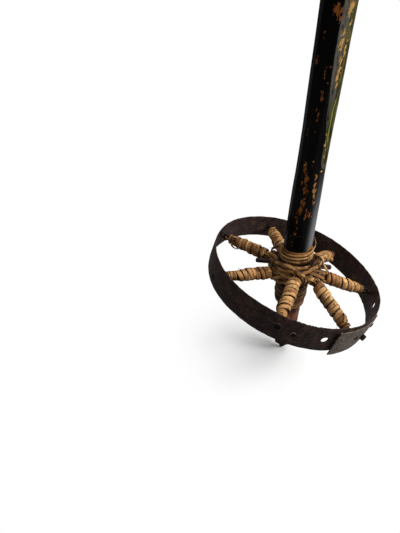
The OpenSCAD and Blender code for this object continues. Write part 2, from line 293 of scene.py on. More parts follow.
# azimuth and height of a chip's middle, its half width and half height in mm
FLAKES = [(256, 327.2, 3.2, 4.6), (252, 330.5, 1.6, 2.4), (265, 322.8, 1.4, 3.0),
          (224, 314.8, 0.9, 1.1), (212, 297, 2.0, 3.4), (226, 311, 0.7, 0.9),
          (264, 293.8, 0.9, 0.7), (249, 289.4, 0.6, 4.0), (260, 283.2, 1.8, 0.6),
          (251, 274.1, 1.3, 3.7), (249, 260.7, 1.0, 3.5), (248, 257, 0.8, 1.0),
          (232, 218.5, 1.7, 2.6), (244, 209.5, 1.7, 5.4), (248, 199.9, 2.2, 4.2),
          (246, 187.7, 2.1, 4.8), (242, 181.8, 2.0, 4.4), (266, 179.6, 1.4, 4.6),
          (280, 176.2, 1.8, 0.9), (263, 174.2, 0.9, 2.6), (236, 168.7, 0.7, 5.4),
          (238, 157, 0.7, 1.9), (217, 246.5, 0.9, 2.3), (231, 205.8, 0.8, 1.7),
          (249, 192.7, 1.4, 1.2), (227, 174, 1.0, 0.8), (231, 147.9, 0.7, 2.0),
          (255, 157.3, 0.6, 0.8)]
BARE = [(296, 328.3, 1.9, 4.1), (293, 324.7, 1.1, 2.3), (306, 330.4, 1.2, 1.7),
        (307, 319.3, 1.2, 1.1), (285, 314, 1.3, 3.6), (286, 308.4, 2.1, 3.7),
        (284, 304.3, 1.6, 1.3), (302, 305.8, 1.4, 1.7), (311, 309.9, 1.1, 1.3),
        (304, 302.1, 1.4, 1.7), (293, 297.9, 1.2, 3.3), (298, 293, 2.4, 2.0),
        (295, 290.3, 1.5, 2.7), (293, 286.5, 1.2, 2.8), (295, 282.3, 0.8, 2.4),
        (281, 212.1, 1.0, 2.7), (281, 206, 1.2, 3.2), (281, 200.1, 1.5, 2.1),
        (284, 194.2, 0.8, 3.2), (288, 189.2, 0.8, 1.2), (301, 216.2, 2.2, 0.8),
        (260, 225.3, 0.7, 0.9), (227, 224.4, 0.6, 0.6), (320, 139.2, 4.4, 4.0),
        (292, 246.5, 0.6, 1.9), (297, 241.4, 0.6, 2.0), (303, 234, 0.6, 2.5),
        (303, 228.3, 0.8, 1.7)]


def chipped(places, azimuth, height):
    """How far inside the nearest chip each spot is: 1 at its middle, below 0 outside it."""
    deep = np.full(azimuth.shape, -3.0)
    for middle, level, wide, tall in places:
        off = np.radians((azimuth - middle + 180) % 360 - 180) * shaft_r / (wide * MM)
        deep = np.maximum(deep, 1 - np.hypot(off, (height - level * MM) / (tall * MM)))
    return deep


def painted_wood(at):
    x, y, z = split(at)
    lay = at.node("Attribute", {}, out="Vector", attribute_name="lay")
    flake, bare, dull = split(lay)
    tear = blotch(at, 0.0022, (1, 1, 2.2), detail=6, rough=0.7) - 0.5
    nibble = blotch(at, 0.0011, (1, 1, 1.8), detail=3, rough=0.6, shift=12) - 0.5
    flake = ramp(flake + tear * 2.8 + nibble * 3.4, 0.22, 0.36)
    bare = ramp(bare + tear * 2.8 + nibble * 2.6, 0.14, 0.28)
    dull = dull + tear * 0.9

    grain = blotch(at, 0.0012, (1, 1, 22), detail=4)
    broad = blotch(at, 0.004, (1, 1, 14), detail=3, shift=3)
    crack = ramp(blotch(at, 0.0022, (1, 1, 40), detail=2, shift=8), 0.655, 0.69)
    foot_wood = tint(ramp(grain + broad - 0.5, 0.3, 0.7), shade(96, 50, 34), shade(170, 110, 80))
    foot_wood = tint(crack * 0.8, foot_wood, shade(44, 24, 18))
    pale_wood = tint(ramp(grain + tear, 0.3, 0.7), shade(150, 104, 48), shade(216, 172, 100))
    pale_wood = tint((1.0 - ramp(z, 0.214, 0.222)) * 0.7, pale_wood, shade(176, 108, 52))
    amber_wood = tint(ramp(tear + grain, 0.3, 0.62), shade(60, 29, 13), shade(170, 98, 40))

    # black on most of the shaft; worn grey-brown, then olive green, down the right
    black = tint(blotch(at, 0.003, (1, 1, 5), detail=4, shift=1), shade(3, 3, 3), shade(9, 8, 8))
    specks = ramp(blotch(at, 0.0011, detail=2, shift=15), 0.72, 0.76)
    black = tint(specks * 0.35, black, shade(92, 84, 70))
    dust = tint(blotch(at, 0.0016, (1, 1, 9), detail=5), shade(40, 37, 32), shade(124, 118, 106))
    dust = tint((1.0 - ramp(z, 0.255, 0.295)) * 0.65, dust, shade(62, 58, 42))
    green = ramp(blotch(at, 0.0022, (1, 1, 4), detail=4, shift=5), 0.35, 0.65)
    green = tint(green, shade(22, 24, 10), shade(84, 78, 34))
    lime = tint(grain, shade(96, 112, 22), shade(140, 148, 44))
    worn = ramp(dull, 0.42, 0.58)
    left_on = ramp(blotch(at, 0.0019, (1, 1, 3), detail=4, shift=18), 0.56, 0.64)
    # low on the right front the paint has a clear coat, and its colour is painted pale grey there: a painted sheen
    # of the right lamp
    coat_and_painted_sheen = ramp(x + y * 0.4, -0.004, 0.0075) * (1.0 - ramp(y, -0.004, 0.006))
    coat_and_painted_sheen = coat_and_painted_sheen * (1.0 - ramp(z, 0.145, 0.225))
    paint = layered(black, (worn, dust),
                    (left_on * ramp(dull, 0.6, 0.9) * 0.8, shade(30, 27, 20)),
                    (ramp(dull, 1.42, 1.58), green), (ramp(dull, 2.42, 2.58), lime),
                    (coat_and_painted_sheen * 0.85, shade(132, 132, 136)))
    end_rub = ramp(z + tear * 0.02, cad_high.z - 0.012, cad_high.z - 0.004)
    bare = larger(bare, end_rub)
    colour = layered(paint, (flake, amber_wood), (bare, pale_wood))

    # the paint's ragged lower edge, stained wood under the basket, bare wood below
    paint_ends = 0.1375
    edge = ramp(z + tear * 0.010, paint_ends, paint_ends + 1 * MM)
    stained = tint(ramp(grain, 0.35, 0.65), shade(26, 15, 12), shade(64, 34, 26))
    # the lowest few centimetres of the foot are painted darker: painted shade under the basket
    foot_wood = tint((1.0 - ramp(z, 0.014, 0.034)) * 0.85, foot_wood, shade(30, 19, 14))
    low_wood = tint(ramp(z, 0.058, 0.068), foot_wood, stained)
    colour = tint(edge, low_wood, colour)
    bared = larger(larger(flake, bare), 1.0 - edge)
    return {"colour": colour, "roughness": 0.24 + 0.36 * bared + 0.26 * worn + 0.08 * grain,
            "height": (1.0 - bared) * 0.5 + grain * 0.22 * bared + broad * 0.3
            - crack * (1.0 - edge) * 0.6 + grain * worn * 0.2, "depth": 0.0005,
            "Specular IOR Level": 0.12, "Coat Weight": coat_and_painted_sheen * 0.9, "Coat Roughness": 0.4}


def polar(radius, angle, height):
    """Points round an upright axis."""
    parts = np.broadcast_arrays(radius * np.cos(angle), radius * np.sin(angle), height)
    return np.stack(parts, -1)


def between(value, low, high):
    """0 below low, 1 above high, a straight line between them."""
    return np.clip((value - low) / (high - low), 0, 1)


# rows are closest where chips are in view; the top is domed and the foot narrows
height = shaft_high.z - shaft_low.z
top_round, top_drop, foot_cut = 5 * MM, 9 * MM, 2 * MM
chips_from, chips_to = 121 * MM, 335 * MM
dome = np.radians(np.linspace(0, 84, 9))
rows_z = np.r_[np.linspace(0, 1.2 * MM, 3), np.linspace(2.5 * MM, chips_from - 1 * MM, 60),
               np.linspace(chips_from, chips_to, 240),
               np.linspace(chips_to + 2 * MM, height - top_drop - 1.5 * MM, 330),
               height - top_drop + top_drop * np.sin(dome)]
rows_r = np.interp(rows_z, [0, 0.0012, 0.004, 0.010, 0.022, 0.036],
                   [0.0064, 0.0078, 0.0091, 0.0103, 0.0113, shaft_r])
rows_r[-len(dome):] = shaft_r - top_round + top_round * np.cos(dome)
turn = np.linspace(0, 2 * math.pi, 128, endpoint=False)
up_shaft = rows_z[:, None]
level = (shaft_low.z + rows_z)[:, None]
# a dozen plane flats that never quite vanished, drifting a little up the shaft
flats = 0.00016 * np.cos(12 * turn + 1.7 * np.sin(up_shaft * 9))
waves = wander(len(rows_z), 0.00012, 24, 5)[:, None] + 0.0001 * np.sin(3 * turn + up_shaft * 31)
# it is thicker where the cross pin goes through, just above the basket, and further up
plump = np.interp(level, [0.1345, 0.140, 0.156, 0.176, 0.196, 0.212, 0.228, 0.262, 0.290, 0.335, 0.5],
                  [0, 1.5, 1.35, 1.1, 0.8, 0.35, 0.2, 0.1, 0.45, 0.75, 0.2]) * MM
foot_part, flats_height = 0.05, 0.1 * MM
uneven = np.where(up_shaft < foot_part, 0.3, 1.0) * (flats + waves)
spread = rows_r[:, None] + uneven - flats_height + plump
ragged = np.where(up_shaft < foot_cut, 0.0009 * np.sin(5 * turn + 1) + 0.0006 * np.sin(9 * turn), 0)

# more chips up the shaft and round its back, where hands and snow have had their way
rng = np.random.default_rng(7)
chips, rubs = list(FLAKES), list(BARE)


def crumbs(places, source, first, count, jitter, wide, tall):
    """Small chips scattered round the ones in view."""
    for _ in range(count):
        middle, high = source[rng.integers(first, len(source))][:2]
        places.append((middle + rng.normal(0, jitter[0]), high + rng.normal(0, jitter[1]),
                       rng.uniform(*wide), rng.uniform(*tall)))


crumbs(chips, FLAKES, 10, 70, (6, 4), (0.25, 0.7), (0.3, 1.5))
crumbs(rubs, BARE, 0, 34, (4, 3), (0.3, 0.8), (0.4, 1.8))
for k in range(150):
    spot = (rng.uniform(0, 360), rng.uniform(345, 1120), rng.uniform(0.5, 1.9),
            rng.uniform(0.8, 5.5))
    (chips if k % 3 else rubs).append(spot)
for k in range(26):
    chips.append((rng.uniform(-30, 190), rng.uniform(145, 335), rng.uniform(0.5, 1.8),
                  rng.uniform(0.8, 5)))

# the azimuths between which the paint is rubbed dull, then green, then lime, by height
dull_from = np.interp(level, [0.2145, 0.219, 0.225, 0.234, 0.246, 0.258, 0.272, 0.283, 0.301,
                              0.316, 0.36, 0.45, 0.47],
                      [345, 300, 290, 291, 292, 280, 277, 273, 269, 269, 272, 290, 345])
green_from = np.interp(level, [0.216, 0.225, 0.238, 0.248, 0.257, 0.271, 0.288, 0.301, 0.316,
                               0.36, 0.42, 0.44],
                       [345, 296, 295, 293, 292, 300, 297, 294, 297, 300, 314, 345])
lime_mid = np.interp(level, [0.240, 0.250, 0.262, 0.275], [304, 302, 303, 311])
worn_to, blur = 346, 4
grid_az, grid_z = np.broadcast_arrays(np.degrees(turn), level)
in_side = (between(grid_az, dull_from - blur / 2, dull_from + blur / 2)
           + between(grid_az, green_from - blur / 2, green_from + blur / 2))
in_side += (np.clip(1.3 - np.abs(grid_az - lime_mid) / 3.4, 0, 1)
            * between(grid_z, 0.238, 0.242) * between(-grid_z, -0.276, -0.270))
in_side *= between(-grid_az, -worn_to, 6 - worn_to)
wear = np.stack([chipped(chips, grid_az, grid_z), chipped(rubs, grid_az, grid_z), in_side], -1)
shaft = Form()
# the foot has warped a little to one side
warp = 1.1 * MM * between(-level, -0.09, -0.06) * between(level, 0, 0.02)
shaft_points = polar(spread, turn, level + ragged)
shaft_points[..., 0] += warp
shaft.grid(shaft_points, wear, capped=True)
paint_and_wood = material("painted_wood", painted_wood)
shaft.build("painted_shaft", paint_and_wood, "shaft_body", ["shaft"], "painted_wood")


# ------------------------------------------------------------ ground spike
# A short forged iron point. It is square where it leaves the wood, and blunted and
# polished at the tip by gravel under the snow.

spike_low, spike_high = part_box("ground_spike")
spike_r = (spike_high.x - spike_low.x) / 2
spike = Form()
spike_z = np.array([0, 0.4, 1.2, 2.8, 4.6, 6.6, 8.2, 9.6, 20, 50]) * MM
spike_girth = spike_r * np.array([0.14, 0.3, 0.48, 0.72, 0.9, 0.97, 0.98, 0.97, 0.8, 0.3])
corner = np.linspace(0, 2 * math.pi, 24, endpoint=False)
squared = 1 - 0.07 * np.cos(4 * corner)
spike_points = polar(spike_girth[:, None] * squared, corner, spike_z[:, None])
spike.grid(spike_points, capped=True)
spike.build("forged_spike", dark_iron, "shaft_body", ["ground_spike"], "spike_iron", sharp=70)


# ------------------------------------------------ cane windings on the shaft
# Split cane, flat inside and round outside. Below the basket it is old, stained dark
# brown and packed tight; above the basket three loose tan turns tie the hub down.

SECTION = np.array([(-1, 0.3), (-0.9, 0.72), (-0.5, 0.97), (0, 1.06), (0.5, 0.97), (0.9, 0.72),
                    (1, 0.3), (0.92, 0), (-0.92, 0)])


def strip(form, path, outward, half, thick, tone, tail=0):
    """Split cane along a path, its round side outward; half and tone may change along it."""
    count = len(path)
    tangent = unit(np.gradient(path, axis=0))
    across = unit(np.cross(outward, tangent))
    outward = unit(np.cross(tangent, across))
    half, thick, tone = (np.broadcast_to(v, count).astype(float) for v in (half, thick, tone))
    if tail:
        fade = np.clip(np.minimum(np.arange(count), np.arange(count)[::-1]) / tail + 0.15, 0, 1)
        half, thick = half * fade, thick * fade
    points = (path[:, None] + across[:, None] * (SECTION[:, 0, None] * half[:, None, None])
              + outward[:, None] * (SECTION[:, 1, None] * thick[:, None, None]))
    length = np.r_[0, np.cumsum(np.linalg.norm(np.diff(path, axis=0), axis=1))]
    edge = np.where(SECTION[:, 1] < 0.1, np.sign(SECTION[:, 0]) * 1.3, SECTION[:, 0])
    lays = np.stack(np.broadcast_arrays(length[:, None], edge[None], tone[:, None]), -1)
    form.grid(points, lays, capped=True)


def spun(a, b, angle):
    """Directions round an axis that a and b are square to."""
    return a * np.cos(angle)[:, None] + b * np.sin(angle)[:, None]


def coil(form, start, end, radii, pitch, thick, seed, slack=0.05, per_turn=30, lap=1.0, lean=0.0):
    """Cane wound round the line from start to end, radius changing from radii[0] to radii[1]."""
    start, end = np.array(start), np.array(end)
    length = np.linalg.norm(end - start)
    turns = max(int(round(length / pitch)), 1)
    pitch = length / turns
    count = turns * per_turn + 1
    axis = (end - start) / length
    a, b = sides(axis)
    angle = np.arange(count) / per_turn * 2 * math.pi + seed
    along = np.arange(count) / (count - 1) * (length - pitch) + pitch / 2
    along += wander(count, pitch * 0.12, per_turn * 0.6, seed) + lean * np.cos(angle)
    radius = np.interp(np.arange(count), [0, count - 1], radii)
    radius += wander(count, slack * MM * 8, per_turn * 0.7, seed + 1)
    outward = spun(a, b, angle)
    path = start + axis * along[:, None] + outward * radius[:, None]
    tone = 0.5 + wander(count, 0.5, per_turn, seed + 2)
    half = pitch * 0.5 * lap * (1 + wander(count, 0.08, per_turn * 0.5, seed + 3))
    thick = thick * (1 + wander(count, 0.18, per_turn * 0.6, seed + 4))
    strip(form, path, outward, half, thick, tone)


def split_cane(pale, warm, dark, stain_and_painted_shade, gloss=0.42):
    """Cane with fibres along the strip, darker along its edges and underside, and stained where it has split."""
    def make(at):
        along, across, tone = split(at.node("Attribute", {}, out="Vector", attribute_name="lay"))
        fibre, streak = (at.node("TexNoise", {"Vector": place, "Scale": 1.0, "Detail": detail})
                         for place, detail in ((join(along * 110, across * 5, tone * 23), 4.0),
                                               (join(along * 26, across * 2.2, tone * 31), 3.0)))
        grime = ramp(blotch(at, 0.008, detail=5, shift=3), 0.44, 0.62)
        scuff = ramp(blotch(at, 0.0032, detail=4, shift=8), 0.6, 0.72)
        # edges and underside blend to the darkest colour; sheets laid at across 1 take it whole as painted shade
        edge = ramp(abs(across), 0.5, 1.0)
        split_line = ramp(streak, 0.645, 0.67) * (1.0 - edge)
        colour = tint(ramp(tone + fibre * 0.7 - 0.35, 0.15, 0.85), warm, pale)
        colour = layered(colour, (ramp(fibre, 0.55, 0.75) * 0.4, dark), (grime * 0.72, dark),
                         (scuff * 0.25, shade(200, 166, 110)),
                         (larger(edge * 0.9, split_line * 0.7), stain_and_painted_shade))
        return {"colour": colour, "roughness": gloss + 0.22 * grime + 0.12 * fibre,
                "height": fibre * 0.25 + streak * 0.2 - edge * 0.5 - split_line * 0.6, "depth": 0.0003,
                "Specular IOR Level": 0.2}
    return make


tan_cane = material("tan_cane", split_cane(
    shade(206, 156, 98), shade(150, 100, 53), shade(88, 53, 25), shade(20, 11, 6)))
brown_cane = material("brown_cane", split_cane(
    shade(150, 112, 74), shade(92, 60, 36), shade(52, 31, 19), shade(14, 8, 6)))

wound_low, wound_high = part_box("shaft_whipping")
lower = Form()
coil(lower, (0.3 * MM, 0, wound_low.z), (0, 0, wound_high.z - 0.3 * MM),
     (shaft_r + 2.4 * MM, shaft_r + 3 * MM), 3.9 * MM, 1.25 * MM, 21, slack=0.05, per_turn=40,
     lap=0.92, lean=0.6 * MM)
# a sleeve under the turns in the cane's darkest colour: painted shade in the gaps between turns
under_r = shaft_r + np.array([0.2, 1.4, 2.4, 0.2]) * MM
under_z = np.array([wound_low.z + 1 * MM, wound_low.z + 1.5 * MM,
                    wound_high.z - 2 * MM, wound_high.z - 1 * MM])
lower.grid(polar(under_r[:, None], turn, under_z[:, None]), (0.0, 1.0, 0.1))
lower.build("lower_winding", brown_cane, "shaft_body", ["shaft_whipping"], "dark_cane")

collar_low, collar_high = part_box("collar_whipping")
collar_mid = (collar_low.z + collar_high.z) / 2
collar = Form()


def girdle(form, height, radius, tilt, half, thick, tone, seed):
    """One loose closed turn round the shaft, highest towards azimuth 345."""
    angle = np.linspace(0, 2 * math.pi, 73)[:-1]
    rise = height + tilt * np.cos(angle - math.radians(345)) + wander(72, 0.0005, 9, seed)
    rise[-6:] = rise[-6:] + (rise[0] - rise[-6:]) * np.linspace(0.1, 1, 6)
    path, outward = polar(radius, angle, rise), polar(1.0, angle, 0.35)
    path, outward = (np.vstack([v, v[:1]]) for v in (path, outward))
    strip(form, path, unit(outward), half, thick, tone + wander(73, 0.3, 18, seed + 1))


# height over the collar's middle, distance off the shaft, tilt and half width in mm; tone
TURNS = ((4.2, 1.0, 0.6, 1.7, -0.4), (1.9, 2.0, 1.5, 1.0, 0.75), (0.3, 1.2, 2.4, 1.15, 0.4),
         (-1.1, 2.7, 1.4, 1.2, 0.8), (-3.1, 1.9, 2.2, 1.1, 0.5), (-4.4, 2.8, 1.3, 1.05, 0.7),
         (-6.0, 1.9, 2.0, 1.2, 0.2), (-7.4, 1.6, 1.4, 1.2, 0.0))
for k, (height, off, tilt, half, tone) in enumerate(TURNS):
    girdle(collar, collar_mid + height * MM, shaft_r + off * MM, tilt * MM, half * MM, 1.25 * MM,
           tone, 31 + k)
# one turn has come loose and stands off the shaft on the right and behind
loose_az = np.radians([262, 285, 305, 322, 340, 360, 380, 410, 450])
loose_r = shaft_r + np.array([1.4, 1.7, 2.4, 3.2, 3.6, 3.0, 2.0, 1.0, 0.5]) * MM
loose_z = np.array([135.6, 136.4, 137.8, 139.8, 142.4, 145.0, 146.6, 146.0, 143.0]) * MM
fine = np.linspace(0, 8, 70)
loose_path = polar(*(np.interp(fine, range(9), v) for v in (loose_r, loose_az, loose_z)))
loose_out = unit(loose_path * (1, 1, 0) + (0, 0, 0.003))
strip(collar, loose_path, loose_out, 1.15 * MM, 0.9 * MM, 0.7, tail=8)
collar.build("collar_turns", tan_cane, "shaft_body", ["collar_whipping"], "cane")


# -------------------------------------------------------------- iron ring
# One-inch strap iron bent to a hoop, with an open butt joint under the lap plate. It
# has been hammered round, so it carries shallow dents; its upper edge is nibbled at
# the front. Two of its punched holes were never used.

ring_mount = next(m for m in frame["record"]["mounts"] if m["name"] == "ring_plane")
ring_axis = Vector(ring_mount["axis"])
ring_turn = np.array(Vector((0, 0, 1)).rotation_difference(ring_axis).to_matrix())
ring_mid = np.array(ring_mount["pos_m"])


def corners(node):
    """A CAD node's vertices, an N by 3 array."""
    mesh = frame["nodes"][node].data
    spots = np.empty(len(mesh.vertices) * 3)
    mesh.vertices.foreach_get("co", spots)
    return spots.reshape(-1, 3)


def to_ring(points):
    return (points - ring_mid) @ ring_turn


def from_ring(points):
    return points @ ring_turn.T + ring_mid


def on_ring(azimuth, radius, height):
    """A place given by degrees round the ring, distance from its axis and height in its plane."""
    return from_ring(polar(radius, np.radians(azimuth), height))


band = to_ring(corners("ring_band"))
ring_r = np.hypot(band[:, 0], band[:, 1]).max()
ring_in = np.hypot(band[:, 0], band[:, 1]).min()
band_half = band[:, 2].max()
# azimuth and height in mm of what was cut into or driven through the strap
SEAM, PLUG, BLOCK, RIVET = 297.0, (259.6, -0.4), (311.5, -4.8), (319.0, 4.0)
SPARE = ((279.0, 0.2), (343.0, 2.1))
hole, skin = 3.2 * MM, 0.1 * MM

eye_spots = []
for n in range(1, 8):
    spot = to_ring(corners(f"ring_eye_{n}"))
    far = spot[np.hypot(spot[:, 0], spot[:, 1]) > ring_r - 1 * MM].mean(axis=0)
    eye_spots.append((math.degrees(math.atan2(far[1], far[0])) % 360, far[2]))

posts, levels = 901, 15
around = np.radians(np.linspace(SEAM + 0.3, SEAM + 359.7, posts))
degrees = np.degrees(around) % 360
heights = np.linspace(-band_half, band_half, levels)


def round_ring(azimuths, millimetres, at=degrees):
    """What is given in mm at some azimuths, drawn out round the ring."""
    return MM * np.interp(at, azimuths, millimetres, period=360)


dents = np.zeros((posts, levels))
for k in range(60):
    centre, level = rng.uniform(0, 360), rng.uniform(-band_half, band_half)
    apart = (degrees - centre + 180) % 360 - 180
    size = rng.uniform(1.5, 5)
    dents += rng.choice([-1, 1]) * rng.uniform(0.04, 0.22) * MM * np.exp(
        -(apart[:, None] / size) ** 2 - ((heights[None] - level) / 0.006) ** 2)
dents += 0.0002 * np.sin(around * 5 + 1)[:, None] + wander(posts, 0.00012, 11, 41)[:, None]
# hammering has spread the strap's edges, most at the front, and left it a little out of round
SPREAD_UP = ([2, 26, 44, 56, 80, 116, 134, 152, 170, 200, 224, 242, 278, 300, 335, 350],
             [-0.4, 0, 0.7, 0.8, 0.3, 0.1, 0.4, 0.8, 0.3, 0.2, 0.9, 1.2, 1.4, 1.4, 1.1, 0.3])
SPREAD_LOW = ([2, 20, 38, 56, 110, 130, 160, 182, 200, 212, 224, 248, 262, 284, 335, 350],
              [-1.2, -0.6, 0, 0.4, 0.4, 0.2, 0, -0.7, -0.8, -0.6, -0.3, -0.3, -1.0, -0.9, -0.5,
               -1.0])
rim_up = wander(posts, 0.00022, 6, 43) + round_ring(*SPREAD_UP)
rim_low = wander(posts, 0.0002, 7, 44) + round_ring(*SPREAD_LOW)
dents += round_ring([0, 20, 60, 150, 175, 195, 215, 235, 270, 340],
                    [0.5, 0.2, 0, 0, 0.6, 0.9, 0.5, 0, 0, 0.2])[:, None]
# small bites out of the upper edge: azimuth and depth in mm
BITES = ((248.5, 1.0), (250.3, 0.8), (265.0, 0.9), (268.6, 0.7), (271.5, 0.8), (186.0, 0.6),
         (212.0, 0.5), (93.0, 0.5))
front = np.exp(-((degrees - 263) / 14) ** 4)
bites = np.clip(wander(posts, 1.0, 1.7, 45), 0, 1) * front * 0.0011
for azimuth, depth in BITES:
    bites = np.maximum(bites, depth * MM * np.exp(-((degrees - azimuth) / 0.5) ** 2))
share = (heights / band_half + 1) / 2
level = (heights[None] + rim_up[:, None] * share ** 3 + rim_low[:, None] * (1 - share) ** 3
         - bites[:, None] * np.clip((share - 0.8) / 0.2, 0, 1))
thin = np.where(np.abs(heights) > band_half - 0.2 * MM, 0.35 * MM, 0.0)[None]
azimuths = np.degrees(around)[:, None]
outer = on_ring(azimuths, ring_r + dents - thin - skin, level)
inner = on_ring(azimuths, ring_in + dents + thin + skin, level)


def sheet(form, face, back, capped=True):
    """A closed skin from the two faces of a sheet, each given as rows of points."""
    form.grid(np.concatenate([face, back[:, ::-1]], axis=1), capped=capped)


hoop = Form()
sheet(hoop, outer, inner)

ring_iron = material("ring_iron", old_iron(
    shade(55, 40, 39), shade(90, 66, 52), shade(122, 99, 78), gloss=0.44))
ring = hoop.build("iron_hoop", ring_iron, "basket_body", ["ring_band"], "ring_iron", sharp=30)


def punched(target, places, radius, reach=0.012):
    """Cuts round holes through a strap at (azimuth, height) places, a little out of true."""
    tool = Form()
    for k, (azimuth, height) in enumerate(places):
        near, beyond = (on_ring(azimuth, ring_r + d, height * MM) for d in (-reach / 2, reach / 2))
        rod(tool, np.linspace(near, beyond, 2), radius * (1 + 0.02 * (k % 3)), around=40)
    mesh = bpy.data.meshes.new("punch")
    mesh.from_pydata(np.vstack(tool.points).tolist(), [], tool.faces)
    punch = bpy.data.objects.new("punch", mesh)
    bpy.context.scene.collection.objects.link(punch)
    cut = target.modifiers.new("holes", "BOOLEAN")
    cut.object, cut.operation, cut.solver = punch, "DIFFERENCE", "EXACT"
    bpy.context.view_layer.update()
    seen = target.evaluated_get(bpy.context.evaluated_depsgraph_get())
    holed = bpy.data.meshes.new_from_object(seen)
    target.modifiers.clear()
    # the cut leaves the lay out on some points, so it is written again
    if "lay" in holed.attributes:
        holed.attributes.remove(holed.attributes["lay"])
    lay = holed.attributes.new("lay", "FLOAT_VECTOR", "POINT")
    lay.data.foreach_set("vector", [0.0, 0.0, 0.5] * len(holed.vertices))
    target.data = holed
    bpy.data.objects.remove(punch)


punched(ring, [(a, h / MM) for a, h in eye_spots] + list(SPARE), hole)


# -------------------------------------------------------------- lap plate
# A second piece of strap iron laid over the ring's joint. Its riveted end lies flat;
# its free end has sprung off the ring and hangs lower, with a sharp corner. It has
# been beaten, so it is paler and pocked with small dents.

plate = to_ring(corners("lap_plate"))
plate_angle = np.degrees(np.arctan2(plate[:, 1], plate[:, 0])) % 360
plate_from, plate_to = plate_angle.min(), plate_angle.max()
plate_high = plate[:, 2].max()
posts, levels = 81, 25
steps, shares = np.linspace(0, 1, posts), np.linspace(0, 1, levels)
plate_az = plate_from + steps * (plate_to - plate_from)
# the free end has sprung away from the ring
span = math.cos(math.radians(plate_to - plate_from))
away = (1 - np.cos(np.radians(plate_to - plate_az))) / (1 - span)
edge_in, edge_out = ring_r + (0.1 + 1.6 * away) * MM, ring_r + (1.36 + 1.6 * away) * MM
edge_low = np.interp(steps, [0, 0.08, 0.5, 0.62, 0.8, 1],
                     [-16.2, -16.2, -16.0, -14.6, -11.8, -8.9]) * MM
edge_low += wander(posts, 0.0002, 5, 51)
edge_high = (plate_high - 0.2 * MM + round_ring(*SPREAD_UP, at=plate_az)
             + wander(posts, 0.0002, 6, 52) - 0.0006 * steps ** 4)
beaten = np.zeros((posts, levels))
for k in range(90):
    u, v, size = rng.uniform(0, 1), rng.uniform(0, 1), rng.uniform(0.018, 0.045)
    beaten -= rng.uniform(0.08, 0.26) * MM * np.exp(
        -((steps[:, None] - u) / size) ** 2 - ((shares[None] - v) / size / 1.1) ** 2)
slant = plate_az[:, None] + 0.35 * (0.5 - shares[None]) * (1 - steps[:, None])
rise = edge_low[:, None] + shares[None] * (edge_high - edge_low)[:, None]
trim = np.where((shares < 0.01) | (shares > 0.99), 0.25 * MM, 0)[None]
front_face = on_ring(slant, edge_out[:, None] + beaten * 0.8 - trim, rise)
laid_on = np.maximum(edge_in[:, None] + beaten * 0.5, ring_r + 0.06 * MM)
back_face = on_ring(slant, laid_on + trim * 0.5, rise)
plate_form = Form()
sheet(plate_form, front_face, back_face)
plate_iron = material("plate_iron", old_iron(
    shade(116, 104, 96), shade(90, 74, 64), shade(168, 156, 140), gloss=0.36))
lap = plate_form.build("beaten_plate", plate_iron, "basket_body", ["lap_plate"], "plate_iron",
                       sharp=30)
punched(lap, [(eye_spots[1][0], eye_spots[1][1] / MM)], hole)


# ----------------------------------------------------- rivets and ring eyes
# Small hand-headed iron. One of the plate's rivets has a square nut-like head. The plug
# fills a hole punched in the wrong place; its head is half sheared and left a lip. Each
# spoke's link goes through the band and is clenched outside, but for the one that ends
# in the plate's hole.

def turned(form, base, axis, heights, radii, around=20, rough=0.0, seed=1, square=0.0, start=0.0,
           tones=0.5):
    """A hammered round piece: radii at heights along an axis from base, both in mm."""
    axis = unit(np.array(axis, float))
    a, b = sides(axis)
    angle = np.linspace(0, 2 * math.pi, around, endpoint=False) + start
    noise = 1 + rough * np.random.default_rng(seed).uniform(-1, 1, (len(radii), around))
    grow = (np.array(radii) * MM)[:, None] * noise
    if square:
        out_to_side = np.maximum(np.abs(np.cos(angle - start)), np.abs(np.sin(angle - start)))
        grow = grow * (1 + square * (1 / out_to_side - 1))
    along = (np.array(heights) * MM)[:, None, None]
    points = base + axis * along + grow[..., None] * spun(a, b, angle)
    lays = np.zeros(points.shape)
    lays[..., 2] = np.broadcast_to(tones, len(radii))[:, None]
    form.grid(points, lays, capped=True)


def outward_at(azimuth):
    return ring_turn @ polar(1.0, math.radians(azimuth), 0.0)


up = ring_turn @ np.array([0, 0, 1.0])
rivets = Form()
for k, (azimuth, height) in enumerate((BLOCK, RIVET)):
    out = outward_at(azimuth)
    foot = on_ring(azimuth, ring_in - 0.95 * MM, height * MM)
    thick = (ring_r - ring_in) / MM + (1.3 if k else 1.8)
    turned(rivets, foot, out, [0, 0.25, 0.6, 0.9, 1.0, 1.05], [0.9, 1.9, 2.35, 2.5, 2.4, 1.45],
           rough=0.05, seed=60 + k)
    turned(rivets, foot, out, [0.9, 1.05 + thick], [1.45, 1.45], seed=62)
    if k:
        turned(rivets, foot, out, np.array([1.1, 1.16, 1.3, 1.6, 1.95, 2.08]) + thick,
               [1.5, 2.6, 2.7, 2.45, 1.7, 0.8], rough=0.06, seed=63)
    else:
        turned(rivets, foot, out, np.array([1.0, 1.15, 1.5, 3.3, 3.8, 4.05]) + thick,
               [2.3, 2.75, 2.85, 2.8, 2.5, 1.7], around=32, rough=0.04, seed=90, square=0.85,
               start=0.75, tones=0.2)
rivets.build("plate_rivet_heads", dark_iron, "basket_body", ["plate_rivets"], "rivet_iron",
             sharp=50)

plug = Form()
out = outward_at(PLUG[0])
side = np.cross(out, up)
foot = on_ring(PLUG[0], ring_r + 0.05 * MM, PLUG[1] * MM)
